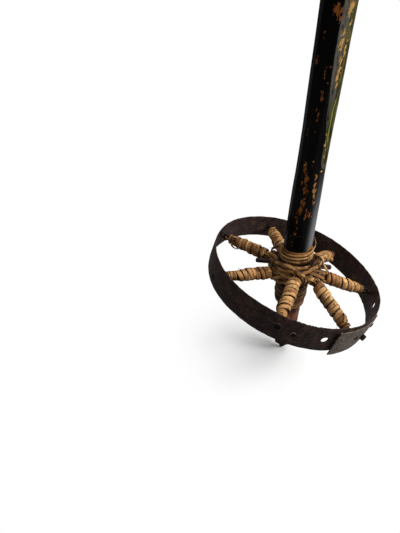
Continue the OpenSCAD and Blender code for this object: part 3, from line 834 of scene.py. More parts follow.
# the sheared head is cupped; its low tones paint shade into that hollow
turned(plug, foot, out, [-0.3, 0.05, 0.2, 0.5, 0.55, 0.25, 0.22],
       [2.4, 3.1, 3.15, 2.75, 2.35, 2.1, 0.6], rough=0.05, seed=65,
       tones=[0.5, 0.5, 0.5, 0.4, 0.1, 0.0, 0.0])
lip = foot + out * 0.6 * MM + 2.4 * MM * spun(side, up, np.linspace(-0.6, 2.4, 16))
rod(plug, lip, np.r_[0.2, 0.42, np.full(12, 0.55), 0.42, 0.2] * MM, around=8, tone=1.0,
    rough=0.12, seed=66)
slit = foot + out * 0.45 * MM + side * np.linspace(-1.9 * MM, 1.9 * MM, 8)[:, None] + up * 0.4 * MM
rod(plug, slit, 0.33 * MM, around=7, rough=0.1, seed=67)
inside = on_ring(PLUG[0], ring_in - 0.9 * MM, PLUG[1] * MM)
turned(plug, inside, out, [0, 0.2, 0.55, 0.85, 0.88], [1.0, 2.1, 2.9, 3.0, 1.8], rough=0.05,
       seed=68)
plug.build("sheared_plug", dark_iron, "basket_body", ["plug_rivet"], "rivet_iron", sharp=50)

eye_r, wire = 2.7 * MM, 1.05 * MM
eye_at = ring_in - 0.2 * MM - 1.1 * MM - eye_r
loop_turn = np.linspace(0, 2 * math.pi, 41)
# heights and radii of an eye's outer end in mm, and its tones, low in its hollow as painted shade: clenched, or
# cut short in the plate, all dark as painted shade in the plate's hole
CLENCHED = ([0, 0.1, 0.35, 0.8, 0.6, 0.35, 0.3], [2.9, 3.85, 3.95, 3.1, 2.3, 1.6, 0.5],
            [0.5, 0.75, 0.8, 0.35, 0.05, 0.0, 0.0])
CUT_SHORT = ([0, 0.1, 0.25, 0.2, 0.05], [2.8, 2.6, 1.9, 1.3, 0.5], [0.1, 0.0, 0.0, 0.0, 0.0])
for n in range(1, 8):
    azimuth, height = eye_spots[n - 1]
    out, mid = outward_at(azimuth), on_ring(azimuth, eye_at, height)
    past, (tip, girth, tones) = (0.5, CUT_SHORT) if n == 2 else (0.15, CLENCHED)
    eye = Form()
    loop = mid + eye_r * spun(out, up, loop_turn)
    loop += np.cross(up, out) * (0.0002 * np.sin(loop_turn * 2 + n))[:, None]
    rod(eye, loop, wire * (1 + wander(41, 0.08, 6, 70 + n)), around=12, rough=0.03, seed=70 + n)
    reach = (ring_r - eye_at - eye_r) / MM + past
    base = mid + out * (eye_r - 0.2 * MM)
    turned(eye, base, out, [0, 0.3, 1.0, reach], [1.5, 2.2, 2.9, 2.9], rough=0.03, seed=80 + n)
    turned(eye, base + out * (reach - 0.1) * MM, out, tip, girth, rough=0.06, seed=90 + n,
           start=0.3 * n, tones=tones)
    eye.build(f"clenched_eye_{n}", dark_iron, "basket_body", [f"ring_eye_{n}"], "rivet_iron",
              sharp=50)


# ----------------------------------------------------------------- spokes
# Each spoke is a bundle of cane with its end bent to a loop that hooks into the ring's
# eye. Split cane is wound over it, by hand and unevenly: turns differ in width, ride
# up on one another and have frayed. The last centimetre before the ring is bare.

frayed_cane = material("frayed_cane", split_cane(
    shade(216, 167, 108), shade(154, 103, 55), shade(90, 55, 26), shade(18, 10, 5), gloss=0.48))
core_cane = material("core_cane", split_cane(
    shade(188, 138, 82), shade(116, 78, 42), shade(58, 36, 20), shade(14, 9, 6), gloss=0.55))


# the winding's first turn, what rides on it and where splinters root, off the spoke's axis
WIND_R, RIDER_R, SPLINTER_R, TURN_WIDTH = 4.3 * MM, 5.5 * MM, 5.4 * MM, 4.9 * MM
# the core's strands: their lanes off its axis and their own radius; where its tie starts
LANE_R, STRAND_R, TIE_R, TIE_PITCH, KNUCKLE = 2.8 * MM, 1.35 * MM, 3.9 * MM, 1.3 * MM, 6.2 * MM


def spoke_line(n):
    """Where the spoke's winding starts at the ring and ends at the hub, and its direction."""
    spots = corners(f"spoke_winding_{n}")
    middle = spots.mean(axis=0)
    axis = np.linalg.svd(spots - middle, full_matrices=False)[2][0]
    away = on_ring(eye_spots[n - 1][0], eye_at, eye_spots[n - 1][1])
    if np.dot(axis, away - middle) > 0:
        axis = -axis
    along = (spots - middle) @ axis
    return middle + axis * along.min(), middle + axis * along.max(), axis


def whisker(form, root, way, length, half, seed):
    """A frayed splinter of cane that curls away from its root."""
    bits = np.random.default_rng(seed)
    way = unit(np.array(way, float))
    bow = unit(np.cross(way, bits.normal(size=3)))
    t = np.linspace(0, 1, 9)[:, None]
    path = root + way * length * t + bow * length * 0.35 * t ** 2
    flat_side = np.broadcast_to(np.cross(way, bow), path.shape)
    strip(form, path, flat_side, half * (1 - 0.75 * t[:, 0]), 0.3 * MM, 0.8)


def wind_spoke(form, n, bits, start, axis, a, b, length):
    """One long strip from the ring to the hub, with turns of uneven width."""
    count = int(round(length / TURN_WIDTH))
    edges = np.cumsum(np.r_[0, bits.uniform(0.62, 1.38, count)])
    edges *= length / edges[-1]
    per_turn = 30
    t = np.arange(count * per_turn + 1) / per_turn
    along = np.interp(t, np.arange(count + 1), edges)
    along = np.clip(along, edges[1] * 0.5, length - (edges[-1] - edges[-2]) * 0.5)
    angle = t * 2 * math.pi + n
    along = along + 0.0007 * np.sin(angle + n) + wander(len(t), 0.0004, 17, 110 + n)
    radius = WIND_R + 0.3 * MM * np.interp(t, [0, 2, count], [0.3, 1, 1.6])
    radius = radius + wander(len(t), 0.0004, 24, 120 + n) - 0.0007 * np.clip(1 - t, 0, 1)
    outward = spun(a, b, angle)
    sway = (a * wander(len(t), 0.0005, 70, 130 + n)[:, None]
            + b * wander(len(t), 0.0005, 80, 140 + n)[:, None])
    path = start + axis * along[:, None] + outward * radius[:, None] + sway
    widths = np.interp(t, np.arange(count) + 0.5, np.diff(edges))
    half = np.minimum(widths * 0.475, 3.2 * MM) * (1 + wander(len(t), 0.1, 12, 150 + n))
    tones = bits.uniform(0.0, 1.0, count + 1)
    tone = np.interp(t, np.arange(count + 1), tones) * 0.8 + 0.1
    strip(form, path, outward, half, 1.4 * MM * (1 + wander(len(t), 0.2, 19, 160 + n)), tone)


def loose_turns(form, n, bits, start, axis, a, b, length):
    """Two narrow turns over the others, the tucked end of the cane, and splinters."""
    for _ in range(2):
        t = np.linspace(0, 1.15, 40)
        outward = spun(a, b, t * 2 * math.pi + bits.uniform(0, 6))
        mid = bits.uniform(0.25, 0.8) * length
        rider = start + axis * (mid + (t - 0.5)[:, None] * 6.2 * MM) + outward * RIDER_R
        strip(form, rider, outward, bits.uniform(0.9, 1.3) * MM, 0.75 * MM, bits.uniform(0.3, 0.9),
              tail=5)
    tuck = np.linspace(0, 1, 24)
    reach = 0.0048 + 0.0022 * np.sin(tuck * math.pi) ** 0.6
    tucked = (start + axis * (0.0005 + tuck * 0.009)[:, None]
              + spun(a, b, n * 2.1 + tuck * 1.1) * reach[:, None])
    off_axis = tucked - start - axis * ((tucked - start) @ axis)[:, None]
    strip(form, tucked, unit(off_axis), 1.3 * MM, 0.7 * MM, 0.75, tail=4)
    for k in range(6 if n in (6, 7) else 4):
        turn_at, place = bits.uniform(0, 2 * math.pi), bits.uniform(0.0, 1.0) * length
        out = a * math.cos(turn_at) + b * math.sin(turn_at)
        way = out * 0.5 + axis * bits.uniform(-1, 1) + np.cross(axis, out) * bits.choice([-1, 1])
        whisker(form, start + axis * place + out * SPLINTER_R, way, bits.uniform(2.2, 4.8) * MM,
                bits.uniform(0.2, 0.45) * MM, 200 + 10 * n + k)


def bare_core(form, n, bits, start, axis, a, b):
    """The bundle of strands, its end hooked through the ring's eye, and the cane tied round it."""
    along = (corners(f"spoke_core_{n}") - start) @ axis
    nose, tail = along.min(), along.max()
    strands = 7
    t = np.linspace(0, 1, 34)
    bulge = np.interp(t, [0, 0.05, 0.12, 1], [0.55, 0.9, 1, 1])
    for k in range(strands + 1):
        reach = 0.0 if k == strands else LANE_R
        spin = k * 2 * math.pi / strands + t * 1.4
        first = nose + 0.0056 + bits.uniform(0, 0.0008)
        lane = start + axis * (first + t * (tail - nose - 0.0060 - bits.uniform(0, 0.001)))[:, None]
        lane = lane + spun(a, b, spin) * (reach * bulge)[:, None]
        rod(form, lane, STRAND_R * bulge, around=10, tone=bits.uniform(0.1, 0.9), rough=0.05,
            seed=210 + n * 10 + k)
    azimuth, height = eye_spots[n - 1]
    across = unit(np.cross(axis, up))
    hook = (on_ring(azimuth, eye_at, height) + axis * eye_r * (1 - np.cos(loop_turn))[:, None]
            + across * (eye_r * np.sin(loop_turn))[:, None])
    rod(form, hook, 1.1 * MM * (1 + wander(41, 0.07, 5, 220 + n)), around=12, tone=0.3,
        rough=0.05, seed=220 + n)
    knuckle = nose + KNUCKLE
    for k in range(int(max(-knuckle, 2 * MM) / TIE_PITCH) + 1):
        spin = np.linspace(0, 2 * math.pi * 1.15, 36) + k * 2 + n
        rise = 0.6 * MM + TIE_PITCH * k + 0.5 * MM * np.sin(spin + k)
        lane = (start + axis * knuckle + axis * rise[:, None]
                + spun(a, b, spin) * (TIE_R + 0.4 * MM * bits.uniform(0, 1)))
        strip(form, lane, unit(spun(a, b, spin)), bits.uniform(0.6, 1.0) * MM, 0.7 * MM,
              bits.uniform(0.1, 0.9), tail=4)


for n in range(1, 8):
    start, end, axis = spoke_line(n)
    bits = np.random.default_rng(100 + n)
    a, b = sides(axis)
    length = np.linalg.norm(end - start)
    winding, core = Form(), Form()
    wind_spoke(winding, n, bits, start, axis, a, b, length)
    loose_turns(winding, n, bits, start, axis, a, b, length)
    winding.build(f"spoke_wrap_{n}", frayed_cane, "basket_body", [f"spoke_winding_{n}"], "cane",
                  sharp=50)
    bare_core(core, n, bits, start, axis, a, b)
    core.build(f"spoke_bundle_{n}", core_cane, "basket_body", [f"spoke_core_{n}"], "cane_core",
               sharp=60)


# -------------------------------------------------------------------- hub
# The spokes' roots are bound to the shaft round the cross pin. Inside, cane is wound
# tight round the shaft; outside, long strands cross over and under the spokes, twist
# round each other at the front and are tucked in. Some have split or sprung loose.

drum_low, drum_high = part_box("hub_windings")
drum_r = (drum_high.x - drum_low.x) / 2
drum = Form()
coil(drum, (0, 0, drum_low.z + 0.6 * MM), (0, 0, drum_high.z - 0.6 * MM),
     (drum_r - 1.4 * MM, drum_r - 1.4 * MM), 3.4 * MM, 1.1 * MM, 301, slack=0.02, per_turn=48,
     lap=0.98)
drum_turn = np.linspace(0, 2 * math.pi, 64, endpoint=False)
# the hollow's walls in the cane's darkest colour: painted shade seen in the gaps between the strands
hollow = [(drum_r - 1.6 * MM, 0.0), (drum_r - 1.6 * MM, 1.0), (shaft_r + 1.4 * MM, 1.0),
          (shaft_r + 0.6 * MM, 0.5), (shaft_r + 1.4 * MM, 0.0)]
inset = 0.4 * MM
drum_height = drum_high.z - drum_low.z - 2 * inset
walls = np.stack([polar(r, drum_turn, drum_low.z + inset + h * drum_height) for r, h in hollow])
drum.grid(walls, (0.0, 1.0, 0.1), looped=True)
drum.build("hub_inner_turns", brown_cane, "basket_body", ["hub_windings"], "cane", sharp=50)


def smooth_through(knots, smooth):
    """A smooth curve through every knot (Catmull-Rom), smooth points to a stretch."""
    t = np.linspace(0, len(knots) - 1, smooth * (len(knots) - 1) + 1)
    padded = np.vstack([2 * knots[0] - knots[1], knots, 2 * knots[-1] - knots[-2]])
    i = np.minimum(t.astype(int), len(knots) - 2)
    u = (t - i)[:, None]
    p0, p1, p2, p3 = (padded[i + k] for k in range(4))
    return 0.5 * (2 * p1 + (p2 - p0) * u + (2 * p0 - 5 * p1 + 4 * p2 - p3) * u ** 2
                  + (3 * p1 - p0 - 3 * p2 + p3) * u ** 3)


def strand(form, knots, half, thick, tone, seed, twist=0.0, tail=6, smooth=26):
    """A cane strand through (azimuth, height mm, radius mm) knots, flat against the hub."""
    knots = np.array(knots, float)
    knots[:, 0] = np.degrees(np.unwrap(np.radians(knots[:, 0])))
    curve = smooth_through(knots, smooth)
    count = len(curve)
    azimuth, high, reach = np.radians(curve[:, 0]), curve[:, 1] * MM, curve[:, 2] * MM
    path, outward = polar(reach, azimuth, high), polar(1.0, azimuth, 0.25)
    across = unit(np.cross(outward, unit(np.gradient(path, axis=0))))
    lean = wander(count, 0.35, 18, seed) + twist * np.linspace(-1, 1, count)
    outward = unit(outward) * np.cos(lean)[:, None] + across * np.sin(lean)[:, None]
    width = half * MM * (1 + wander(count, 0.12, 12, seed + 1))
    strip(form, path, outward, width, thick * MM * 0.95, tone + wander(count, 0.2, 20, seed + 2),
          tail=tail)


roots = [spoke_line(n) for n in range(1, 8)]


def root_height(order, radius):
    """The height of a spoke's middle where it is at a radius, mm."""
    end, axis = roots[order][1:]
    slope = axis[2] / math.hypot(axis[0], axis[1])
    return (end[2] + (math.hypot(end[0], end[1]) - radius * MM) * slope) / MM


# four strands go right round, each over the spokes that another goes under
tie = Form()
SPOKE_AT = (268.6, 311.4, 348.5, 387.9, 461.1, 513.5, 564.6)
for k, (radius, flip) in enumerate(((20.9, 0), (23.2, 1), (21.8, 1), (24.0, 0))):
    knots = []
    for order, azimuth in enumerate(SPOKE_AT):
        over = 1 if (order + flip) % 2 == 0 else -1
        clear = over * (5.4 + 0.5 * (k % 2))
        reach = radius + (0.4 if over > 0 else 0)
        knots.append((azimuth, root_height(order, radius) + clear, reach))
    knots.append((knots[0][0] + 372, (knots[0][1] + knots[1][1]) / 2, radius))
    strand(tie, knots, 1.9, 1.4, 0.3 + 0.12 * k, 310 + 7 * k, tail=3, smooth=34)

# the crossing at the front, and the loose ends round it: half width and thickness in mm,
# tone, twist, how gently the ends thin out, and the route
STRANDS = [
    (2.1, 1.6, 0.62, 0.3, 6, [(172, 116, 21), (186, 121.5, 22.6), (203, 125.6, 23.4),
        (221, 128.2, 24), (234, 129.2, 24.4), (247, 129.2, 24.8), (258, 127, 25.2),
        (267, 123, 25.4), (277, 117.3, 24.8), (283, 111, 23)]),
    (2.1, 1.6, 0.78, -0.3, 6, [(352, 127.6, 22), (335, 130.2, 24), (319, 130.4, 25),
        (307, 129.2, 25.6), (294, 128.6, 25.8), (284, 126.2, 25.6), (276, 124, 25),
        (266, 122, 23.8), (255, 119.1, 22.4)]),
    (1.9, 1.3, 0.4, 0, 6, [(176, 112, 21), (198, 117.5, 22.2), (216, 120.7, 22.8),
        (233, 121.9, 23), (246, 122.8, 23), (258, 121.6, 22.6), (273, 118.4, 22)]),
    (2.3, 1.4, 0.55, 0, 6, [(196, 112.6, 25.5), (209, 116.2, 24.4), (226, 118.7, 23.5),
        (241, 119.6, 22.5), (254, 119.8, 21.5)]),
    (2.2, 1.3, 0.62, 0, 6, [(200, 106.6, 25), (212, 109.6, 24.4), (224, 113.3, 24),
        (236, 117.2, 23.4), (248, 120.5, 22.6)]),
    (1.2, 1.0, 0.75, 0, 6, [(262, 126.2, 25.6), (270, 124.1, 26.4), (277, 121.2, 26.6),
        (282, 116.7, 26), (283, 111, 24.4), (280, 107.4, 22.4)]),
    (1.3, 1.0, 0.5, 0, 6, [(258, 125.4, 25), (264, 124.2, 26), (272, 122.4, 26.6),
        (284, 119.3, 26.4), (290, 113.2, 25.2), (291, 107.6, 22.8)]),
    (1.8, 1.2, 0.45, 0, 6, [(228, 112, 22.4), (238, 115.1, 23), (252, 118.1, 23.6),
        (266, 117.7, 24), (276, 114, 24), (283, 108.6, 22.6)]),
    (2.3, 0.6, 1.0, 0, 3, [(280, 119.6, 25.6), (287, 118.2, 26.4), (295, 116.6, 27.2),
        (303, 114.6, 27.6), (309, 114.6, 27.4)]),
    (1.25, 0.9, 0.85, 0, 6, [(324, 126, 23), (308, 134.6, 24.6), (306, 140.2, 26.6),
        (309, 138, 28.6), (311, 132.1, 30.2), (318, 126.1, 32), (332, 117, 33), (340, 111, 32)]),
    (1.9, 1.2, 0.7, 0, 6, [(292, 125, 22), (298, 129.6, 22.8), (303, 135.2, 24.6),
        (310, 139.4, 27), (318, 139, 28.6), (328, 133, 28.4)]),
    (1.6, 1.3, 0.6, 0, 6, [(296, 123.4, 21.6), (308, 123.6, 25.4), (318, 121.4, 29.2),
        (326, 117.6, 31)]),
    (1.8, 1.4, 0.4, 0, 6, [(294, 120.6, 22), (304, 119.9, 25), (314, 116.6, 28.6),
        (324, 112.4, 31)]),
    (1.8, 1.3, 0.6, 0, 6, [(222, 124.6, 20.2), (240, 126.2, 20.4), (258, 126.2, 20.4),
        (277, 126.2, 20.4), (296, 126.4, 20.4), (312, 127.6, 20)]),
    (1.8, 1.3, 0.35, 0, 6, [(158, 122, 24), (172, 127.2, 24.6), (186, 129.4, 23),
        (198, 129.2, 21.6), (208, 125, 22)]),
    (1.6, 1.1, 0.4, 0, 6, [(184, 122.6, 24.6), (192, 127, 25.4), (201, 128, 26), (202, 123.8, 26),
        (192, 118, 25), (182, 112.8, 23)]),
    (1.9, 1.3, 0.5, 0, 6, [(100, 126.7, 22.4), (124, 124.7, 23.4), (146, 126.1, 24),
        (166, 128.7, 22.8)]),
    (1.9, 1.3, 0.55, 0, 6, [(30, 119.7, 22.6), (52, 121.7, 23.6), (76, 124.7, 23.6),
        (98, 127.3, 22.6)]),
    (1.7, 1.2, 0.5, 0, 6, [(332, 104, 22.5), (350, 117.5, 25), (12, 121, 24), (30, 112, 24.4),
        (48, 107.5, 22)])]
for k, (half, thick, tone, twist, tail, knots) in enumerate(STRANDS):
    strand(tie, knots, half, thick, tone, 401 + k, twist=twist, tail=tail)
splinters, lashing_r = 22, 23.8 * MM
for k in range(splinters):
    out = polar(1.0, rng.uniform(0, 2 * math.pi), 0.0)
    root = out * lashing_r + (0, 0, rng.uniform(111, 126) * MM)
    whisker(tie, root, out * 0.4 + rng.normal(size=3) * 0.8, rng.uniform(3, 7) * MM,
            rng.uniform(0.25, 0.6) * MM, 420 + k)
tie.build("hub_lashed_strands", tan_cane, "basket_body", ["hub_lashing"], "cane", sharp=50)


# ---------------------------------------------------------- grip and strap
# A leather sleeve sewn up behind and bound with cane at both ends. The strap is one
# leather loop on an iron pin through the shaft, closed with a brass rivet and stitched
# along both edges. Hands have darkened and polished both.

def worn_leather(deep, rubbed_tan, gloss):
    """Creased leather, paler where it is rubbed and dark where hands have greased it."""
    def make(at):
        pores = at.node("TexVoronoi", {"Vector": at, "Scale": 620.0}, out="Distance")
        folds = blotch(at, 0.009, (1, 1, 0.5), detail=6)
        creases = ramp(abs(blotch(at, 0.007, (2.4, 2.4, 0.7), detail=4, shift=4) - 0.5), 0.0, 0.035)
        fade = ramp(blotch(at, 0.03, detail=5, shift=7), 0.42, 0.66)
        grease = ramp(blotch(at, 0.018, detail=4, shift=2), 0.45, 0.62)
        colour = tint(fade, deep, rubbed_tan)
        colour = tint((1.0 - creases) * 0.55, colour, shade(24, 14, 9))
        colour = tint(ramp(pores, 0.0, 0.18) * 0.35, shade(30, 18, 11), colour)
        colour = tint(grease * 0.35, colour, shade(38, 22, 13))
        return {"colour": colour, "roughness": gloss + 0.2 * folds - 0.12 * grease,
                "height": pores * 0.35 + folds * 0.5 + creases * 0.4, "depth": 0.0004,
                "Specular IOR Level": 0.4}
    return make


grip_leather = material("grip_leather", worn_leather(shade(70, 40, 24), shade(120, 78, 48), 0.4))
strap_leather = material("strap_leather", worn_leather(shade(84, 50, 30), shade(138, 94, 60), 0.45))
linen = material("waxed_linen", split_cane(
    shade(196, 178, 138), shade(158, 138, 98), shade(110, 92, 62), shade(70, 56, 36), gloss=0.6))

# the sleeve is a sheet round the shaft whose two edges meet behind, at azimuth 90
grip_low, grip_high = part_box("grip_sleeve")
sleeve = Form()
rise = np.linspace(0, 1, 130)
cuff = np.minimum(np.clip(rise / 0.02, 0, 1), np.clip((1 - rise) / 0.02, 0, 1)) ** 0.5
leather, belly, seam_gap = 2.1 * MM, 0.9 * MM, 2.2
swell = shaft_r + (leather + belly * np.sin(rise * math.pi)) + 0.5 * MM * cuff
grip_turn = np.radians(np.linspace(90 + seam_gap, 450 - seam_gap, 140))
hold = 0.00022 * np.cos(4 * grip_turn)[None] * np.sin(rise * math.pi * 4)[:, None]
hold += wander(130, 0.0002, 9, 501)[:, None]
hold += sum(0.00018 * np.sin(k * grip_turn[None] + rise[:, None] * 40 * k + k) for k in (1, 2))
crossings = 21
pucker = sum(np.exp(-((np.degrees(grip_turn) - seam) / 5) ** 2) for seam in (92, 448))
lift = pucker[None] * 0.5 * MM * (0.6 + 0.4 * np.cos(rise[:, None] * 2 * math.pi * crossings))
grip_z = grip_low.z + 0.2 * MM + rise * (grip_high.z - grip_low.z - 0.4 * MM)
outside = polar(swell[:, None] + hold + lift, grip_turn, grip_z[:, None])
within = polar(shaft_r + skin, grip_turn, grip_z[:, None])
sheet(sleeve, outside, within, capped=False)
for end_rows in ((within[0], outside[0]), (outside[-1], within[-1])):
    sleeve.grid(np.stack(end_rows), closed=False)
sleeve.build("sewn_grip", grip_leather, "shaft_body", ["grip_sleeve"], "grip_leather", sharp=50)

lacing = Form()
bow = np.linspace(-1, 1, 11)
reach = shaft_r + 0.0037 + 0.0006 * (1 - bow ** 2) - 0.0013 * np.abs(bow) ** 5
margin = 3.5 * MM
for k in range(crossings):
    low = grip_low.z + margin + k * (grip_high.z - grip_low.z - 2 * margin) / (crossings - 0.5)
    for way in (-1, 1):
        stitch = polar(reach, np.radians(90 + bow * 10 * way), low + (bow * 0.5 + 0.5) * 4.2 * MM)
        rod(lacing, stitch, 0.42 * MM, around=8, rough=0.05, seed=510 + k)
lacing.build("grip_lacing", linen, "shaft_body", [], "grip_leather", sharp=60)

for name, seed in (("grip_whipping_low", 521), ("grip_whipping_top", 522)):
    low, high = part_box(name)
    wrap = Form()
    coil(wrap, (0, 0, low.z), (0, 0, high.z), (shaft_r + 0.8 * MM, shaft_r + 0.8 * MM), 2.1 * MM,
         1.0 * MM, seed, slack=0.02, per_turn=44)
    tuck = np.linspace(0, 1, 16)
    spin = 1.2 + 0.25 * tuck
    tucked = polar(shaft_r + 1.2 * MM, spin, low.z + 0.8 * MM + tuck * (high.z - low.z - 1.6 * MM))
    strip(wrap, tucked, polar(1.0, spin, 0.0), 0.9 * MM, 0.7 * MM, 0.8, tail=3)
    wrap.build(name + "_turns", tan_cane, "shaft_body", [name], "grip_cane", sharp=50)

pin_box_low, pin_box_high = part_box("strap_pin")
pin_z = (pin_box_low.z + pin_box_high.z) / 2
half_span = pin_box_high.x
bolt = Form()
bolt_x = np.linspace(-half_span + 1.6 * MM, half_span - 1.6 * MM, 12)
rod(bolt, np.array([[x, 0, pin_z] for x in bolt_x]), 1.96 * MM, around=18)
for way in (-1, 1):
    head = np.array([way * (half_span - 1.7 * MM), 0, pin_z])
    turned(bolt, head, (way, 0, 0), [0, 0.15, 0.5, 0.95, 1.4, 1.62],
           [2.9, 3.45, 3.5, 3.0, 2.0, 0.8], around=22, rough=0.06, seed=530 + way)
bolt.build("strap_bolt", dark_iron, "shaft_body", ["strap_pin"], "pin_iron", sharp=50)

washer_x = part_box("strap_washers")[1].x
washers = Form()
washer_turn = np.linspace(0, 2 * math.pi, 36, endpoint=False)
profile = [(2.05, 0.02), (5.6, 0.02), (5.92, 0.25), (5.92, 0.75), (5.6, 0.98), (2.3, 0.98)]
for way in (-1, 1):
    wobble = 1 + 0.02 * np.sin(3 * washer_turn + way)
    rows = np.stack([polar(r * MM * wobble, washer_turn, way * (washer_x - 1 * MM + h * MM))
                     for r, h in profile])[..., [2, 0, 1]] + (0, 0, pin_z)
    washers.grid(rows if way > 0 else rows[:, ::-1], looped=True)
washers.build("strap_washer_pair", dark_iron, "shaft_body", ["strap_washers"], "pin_iron", sharp=40)

# the strap lies in a plane through its pin: across the pole, down its fall, and its width
swing = next(j for j in frame["joints"] if j["name"] == "strap_swing")
pivot = np.array(swing["pos_m"])
rel = corners("wrist_strap") - pivot
lowest = rel[rel[:, 2] < rel[:, 2].min() * 0.97]
fall_dir = unit(np.array([0, lowest[:, 1].mean(), lowest[:, 2].mean()]))
width_dir = np.cross((1, 0, 0), fall_dir)
flat_place = np.stack([rel[:, 0], rel @ fall_dir, rel @ width_dir], -1)
half_strap = 1.5 * MM
loop_length = flat_place[:, 1].max() - half_strap
half_loop = np.abs(flat_place[:, 0]).max() - half_strap
half_wide = flat_place[:, 2].max()
leg_x = np.abs(flat_place[flat_place[:, 1] < 6 * MM][:, 0]).mean()
ears, bow_start = 8 * MM, 128 * MM


def leg(fall):
    """How far out the strap's leg is at a distance down it from the pin."""
    share = np.clip((fall - ears) / (bow_start - ears), 0, 1)
    return leg_x + (half_loop - leg_x) * np.sin(np.radians(90 * share)) ** 1.2


falls = np.concatenate([np.linspace(-ears, ears, 9)[:-1],
                        np.linspace(ears, bow_start - 2 * MM, 60)])
arc = np.radians(np.linspace(0, 180, 81))
bow = [half_loop * np.cos(arc), bow_start + (loop_length - bow_start) * np.sin(arc)]
centre = np.concatenate([np.stack([leg(falls), falls], -1), np.stack(bow, -1),
                         np.stack([-leg(falls), falls], -1)[::-1]])
tang = unit(np.gradient(centre, axis=0))
normal = np.stack([tang[:, 1], -tang[:, 0]], -1)
count = len(centre)
run = np.r_[0, np.cumsum(np.linalg.norm(np.diff(centre, axis=0), axis=1))]
over_width = np.linspace(-1, 1, 15)
from_pin = np.minimum(*(np.linalg.norm(centre - (x, 0), axis=1) for x in (leg_x, -leg_x)))
# the ears are rounded to a half circle about the pin
ear = np.sqrt(np.clip(half_wide ** 2 - centre[:, 1] ** 2, 1e-9, None))
allowed = np.where(centre[:, 1] < 0, ear, half_wide - 0.2 * MM)
# away from its ends it is cupped and uneven; its edges are rounded and grooved for the seam
calm, seam_at = 30 * MM, 0.72
from_ends = (between(run, 0, calm) * between(run[-1] - run, 0, calm))[:, None]
cup = 0.35 * MM * over_width[None] ** 2 * from_ends
ripple = wander(count, 0.25 * MM, 12, 540)[:, None] * between(from_pin, 0, calm)[:, None]
half_thick = 1.48 * MM - 0.5 * MM * np.abs(over_width)[None] ** 8
groove = -0.18 * MM * np.exp(-((np.abs(over_width) - seam_at) / 0.09) ** 2)[None]


def in_strap(spot, across):
    return (pivot + spot[..., :1] * np.array([1.0, 0, 0]) + spot[..., 1:] * fall_dir
            + across[..., None] * width_dir)


def leather_face(side):
    off = side * (half_thick + groove * (from_pin > 0.012)[:, None]) + cup + ripple
    spot = centre[:, None] + normal[:, None] * off[..., None]
    return in_strap(spot, over_width[None] * allowed[:, None])


strap = Form()
sheet(strap, leather_face(1), leather_face(-1))
strap.build("leather_loop", strap_leather, "strap_body", ["wrist_strap"], "strap_leather", sharp=50)

# a row of stitches along both edges, on both faces, left out under the rivet
stitches = Form()
stitch_arch = np.array([1.3, 1.85, 1.3]) * MM
stitch_from, stitch_pitch = 16 * MM, 4.5 * MM
for row in (-seam_at, seam_at):
    for first in np.searchsorted(run, np.arange(stitch_from, run[-1] - stitch_from, stitch_pitch)):
        piece = np.arange(first, min(first + 3, count - 2))
        at_rivet = abs(centre[first, 0]) < 7 * MM and centre[first, 1] > 0.1
        if len(piece) < 3 or at_rivet:
            continue
        for side in (1, -1):
            off = side * stitch_arch[:, None] + ripple[piece] + cup[piece][:, 2:3]
            path = in_strap(centre[piece] + normal[piece] * off, row * allowed[piece])
            rod(stitches, path, 0.36 * MM, around=7)
stitches.build("strap_stitches", linen, "strap_body", [], "strap_leather", sharp=70)

brass = material("rivet_brass", old_iron(
    shade(150, 118, 62), shade(96, 78, 44), shade(196, 168, 104), gloss=0.35))
stud = Form()
for way in (1, -1):
    foot = pivot + fall_dir * loop_length + fall_dir * way * half_strap
    turned(stud, foot, fall_dir * way, [-0.1, 0.15, 0.35, 0.7, 0.92, 0.98],
           [1.6, 3.2, 3.35, 2.9, 1.7, 0.6], around=26, rough=0.02, seed=550 + way)
stud.build("brass_stud", brass, "strap_body", ["strap_rivet"], "rivet_brass", sharp=50)


# ------------------------------------------------------- room, light, view
# A plain white sweep, a large soft lamp above and a stronger one from the right; the
# room is dark on the near side. The pole stands tip down and is seen from above.

floor = bpy.data.meshes.new("floor")
floor.from_pydata([(-6, -6, 0), (6, -6, 0), (6, 9, 0), (-6, 9, 0)], [], [(0, 1, 2, 3)])
ground = bpy.data.objects.new("floor", floor)
ground.location.z = spike_low.z - 0.0002
bpy.context.scene.collection.objects.link(ground)
paper = bpy.data.materials.new("white_paper")
paper.use_nodes = True
paper.node_tree.nodes.clear()
ray = Value(paper.node_tree).node("LightPath", {}, out="Is Camera Ray")
spot = ray.node("TexCoord", {}, out="Object")
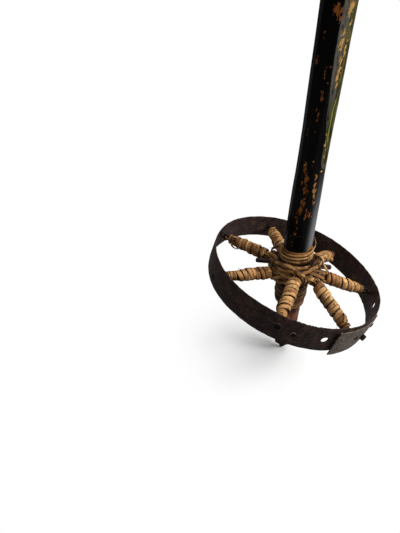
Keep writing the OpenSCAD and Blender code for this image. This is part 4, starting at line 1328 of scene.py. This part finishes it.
# near the pole it is lit paper; further out it is plain white
far = ramp(spot.node("VectorMath", {0: spot}, out="Value", operation="LENGTH"), 0.0, 0.14)
sheet = tint(ray, (0.2, 0.2, 0.2, 1), (0.97, 0.97, 0.97, 1))
lit = ray.node("BsdfPrincipled", {"Base Color": sheet, "Roughness": 0.9, "Specular IOR Level": 0.0})
blank = ray.node("Emission", {"Color": (1, 1, 1, 1), "Strength": 1.0})
surface = ray.node("MixShader", {0: ray * far, 1: lit, 2: blank})
paper_end = paper.node_tree.nodes.new("ShaderNodeOutputMaterial")
paper.node_tree.links.new(surface.socket, paper_end.inputs["Surface"])
floor.materials.append(paper)

world = bpy.data.worlds.new("studio")
bpy.context.scene.world = world
world.use_nodes = True
world.node_tree.nodes.clear()
ray = Value(world.node_tree).node("LightPath", {}, out="Is Camera Ray")
direction = ray.node("TexCoord", {}, out="Generated")
side, depth, up_share = split(direction)
# bright above, to the right and behind; dark towards the viewer
open_sky = ramp(up_share, 0.1, 0.95) * 0.5 + ramp(side, 0.0, 1.0) * 0.25
open_sky = open_sky + ramp(depth, 0.1, 1.0) * 0.15
glow = tint(open_sky, (0.03, 0.03, 0.032, 1), (0.95, 0.95, 0.94, 1))
seen = ray.node("Background", {"Color": tint(ray, glow, (1, 1, 1, 1)), "Strength": 1.0})
world_end = world.node_tree.nodes.new("ShaderNodeOutputWorld")
world.node_tree.links.new(seen.socket, world_end.inputs["Surface"])


def lamp(name, place, aim, size, power):
    data = bpy.data.lights.new(name, "AREA")
    data.shape, data.size, data.energy = "DISK", size, power
    made = bpy.data.objects.new(name, data)
    made.location = place
    made.rotation_euler = (Vector(aim) - Vector(place)).to_track_quat("-Z", "Y").to_euler()
    bpy.context.scene.collection.objects.link(made)


lamp("sky_panel", (0.35, 0.1, 1.7), (0, 0, 0.1), 1.1, 15)
lamp("right_panel", (1.1, -0.35, 0.8), (0, 0, 0.13), 0.6, 15)

view = bpy.data.cameras.new("camera")
view.lens, view.sensor_width = 27.02, 36.0
view.clip_start = 0.01
eye_point = bpy.data.objects.new("camera", view)
eye_point.location = (-0.0927, -0.3197, 0.3438)
eye_point.rotation_euler = (math.radians(54.25), 0, 0)
bpy.context.scene.collection.objects.link(eye_point)
bpy.context.scene.camera = eye_point
bpy.context.scene.view_settings.view_transform = "Standard"
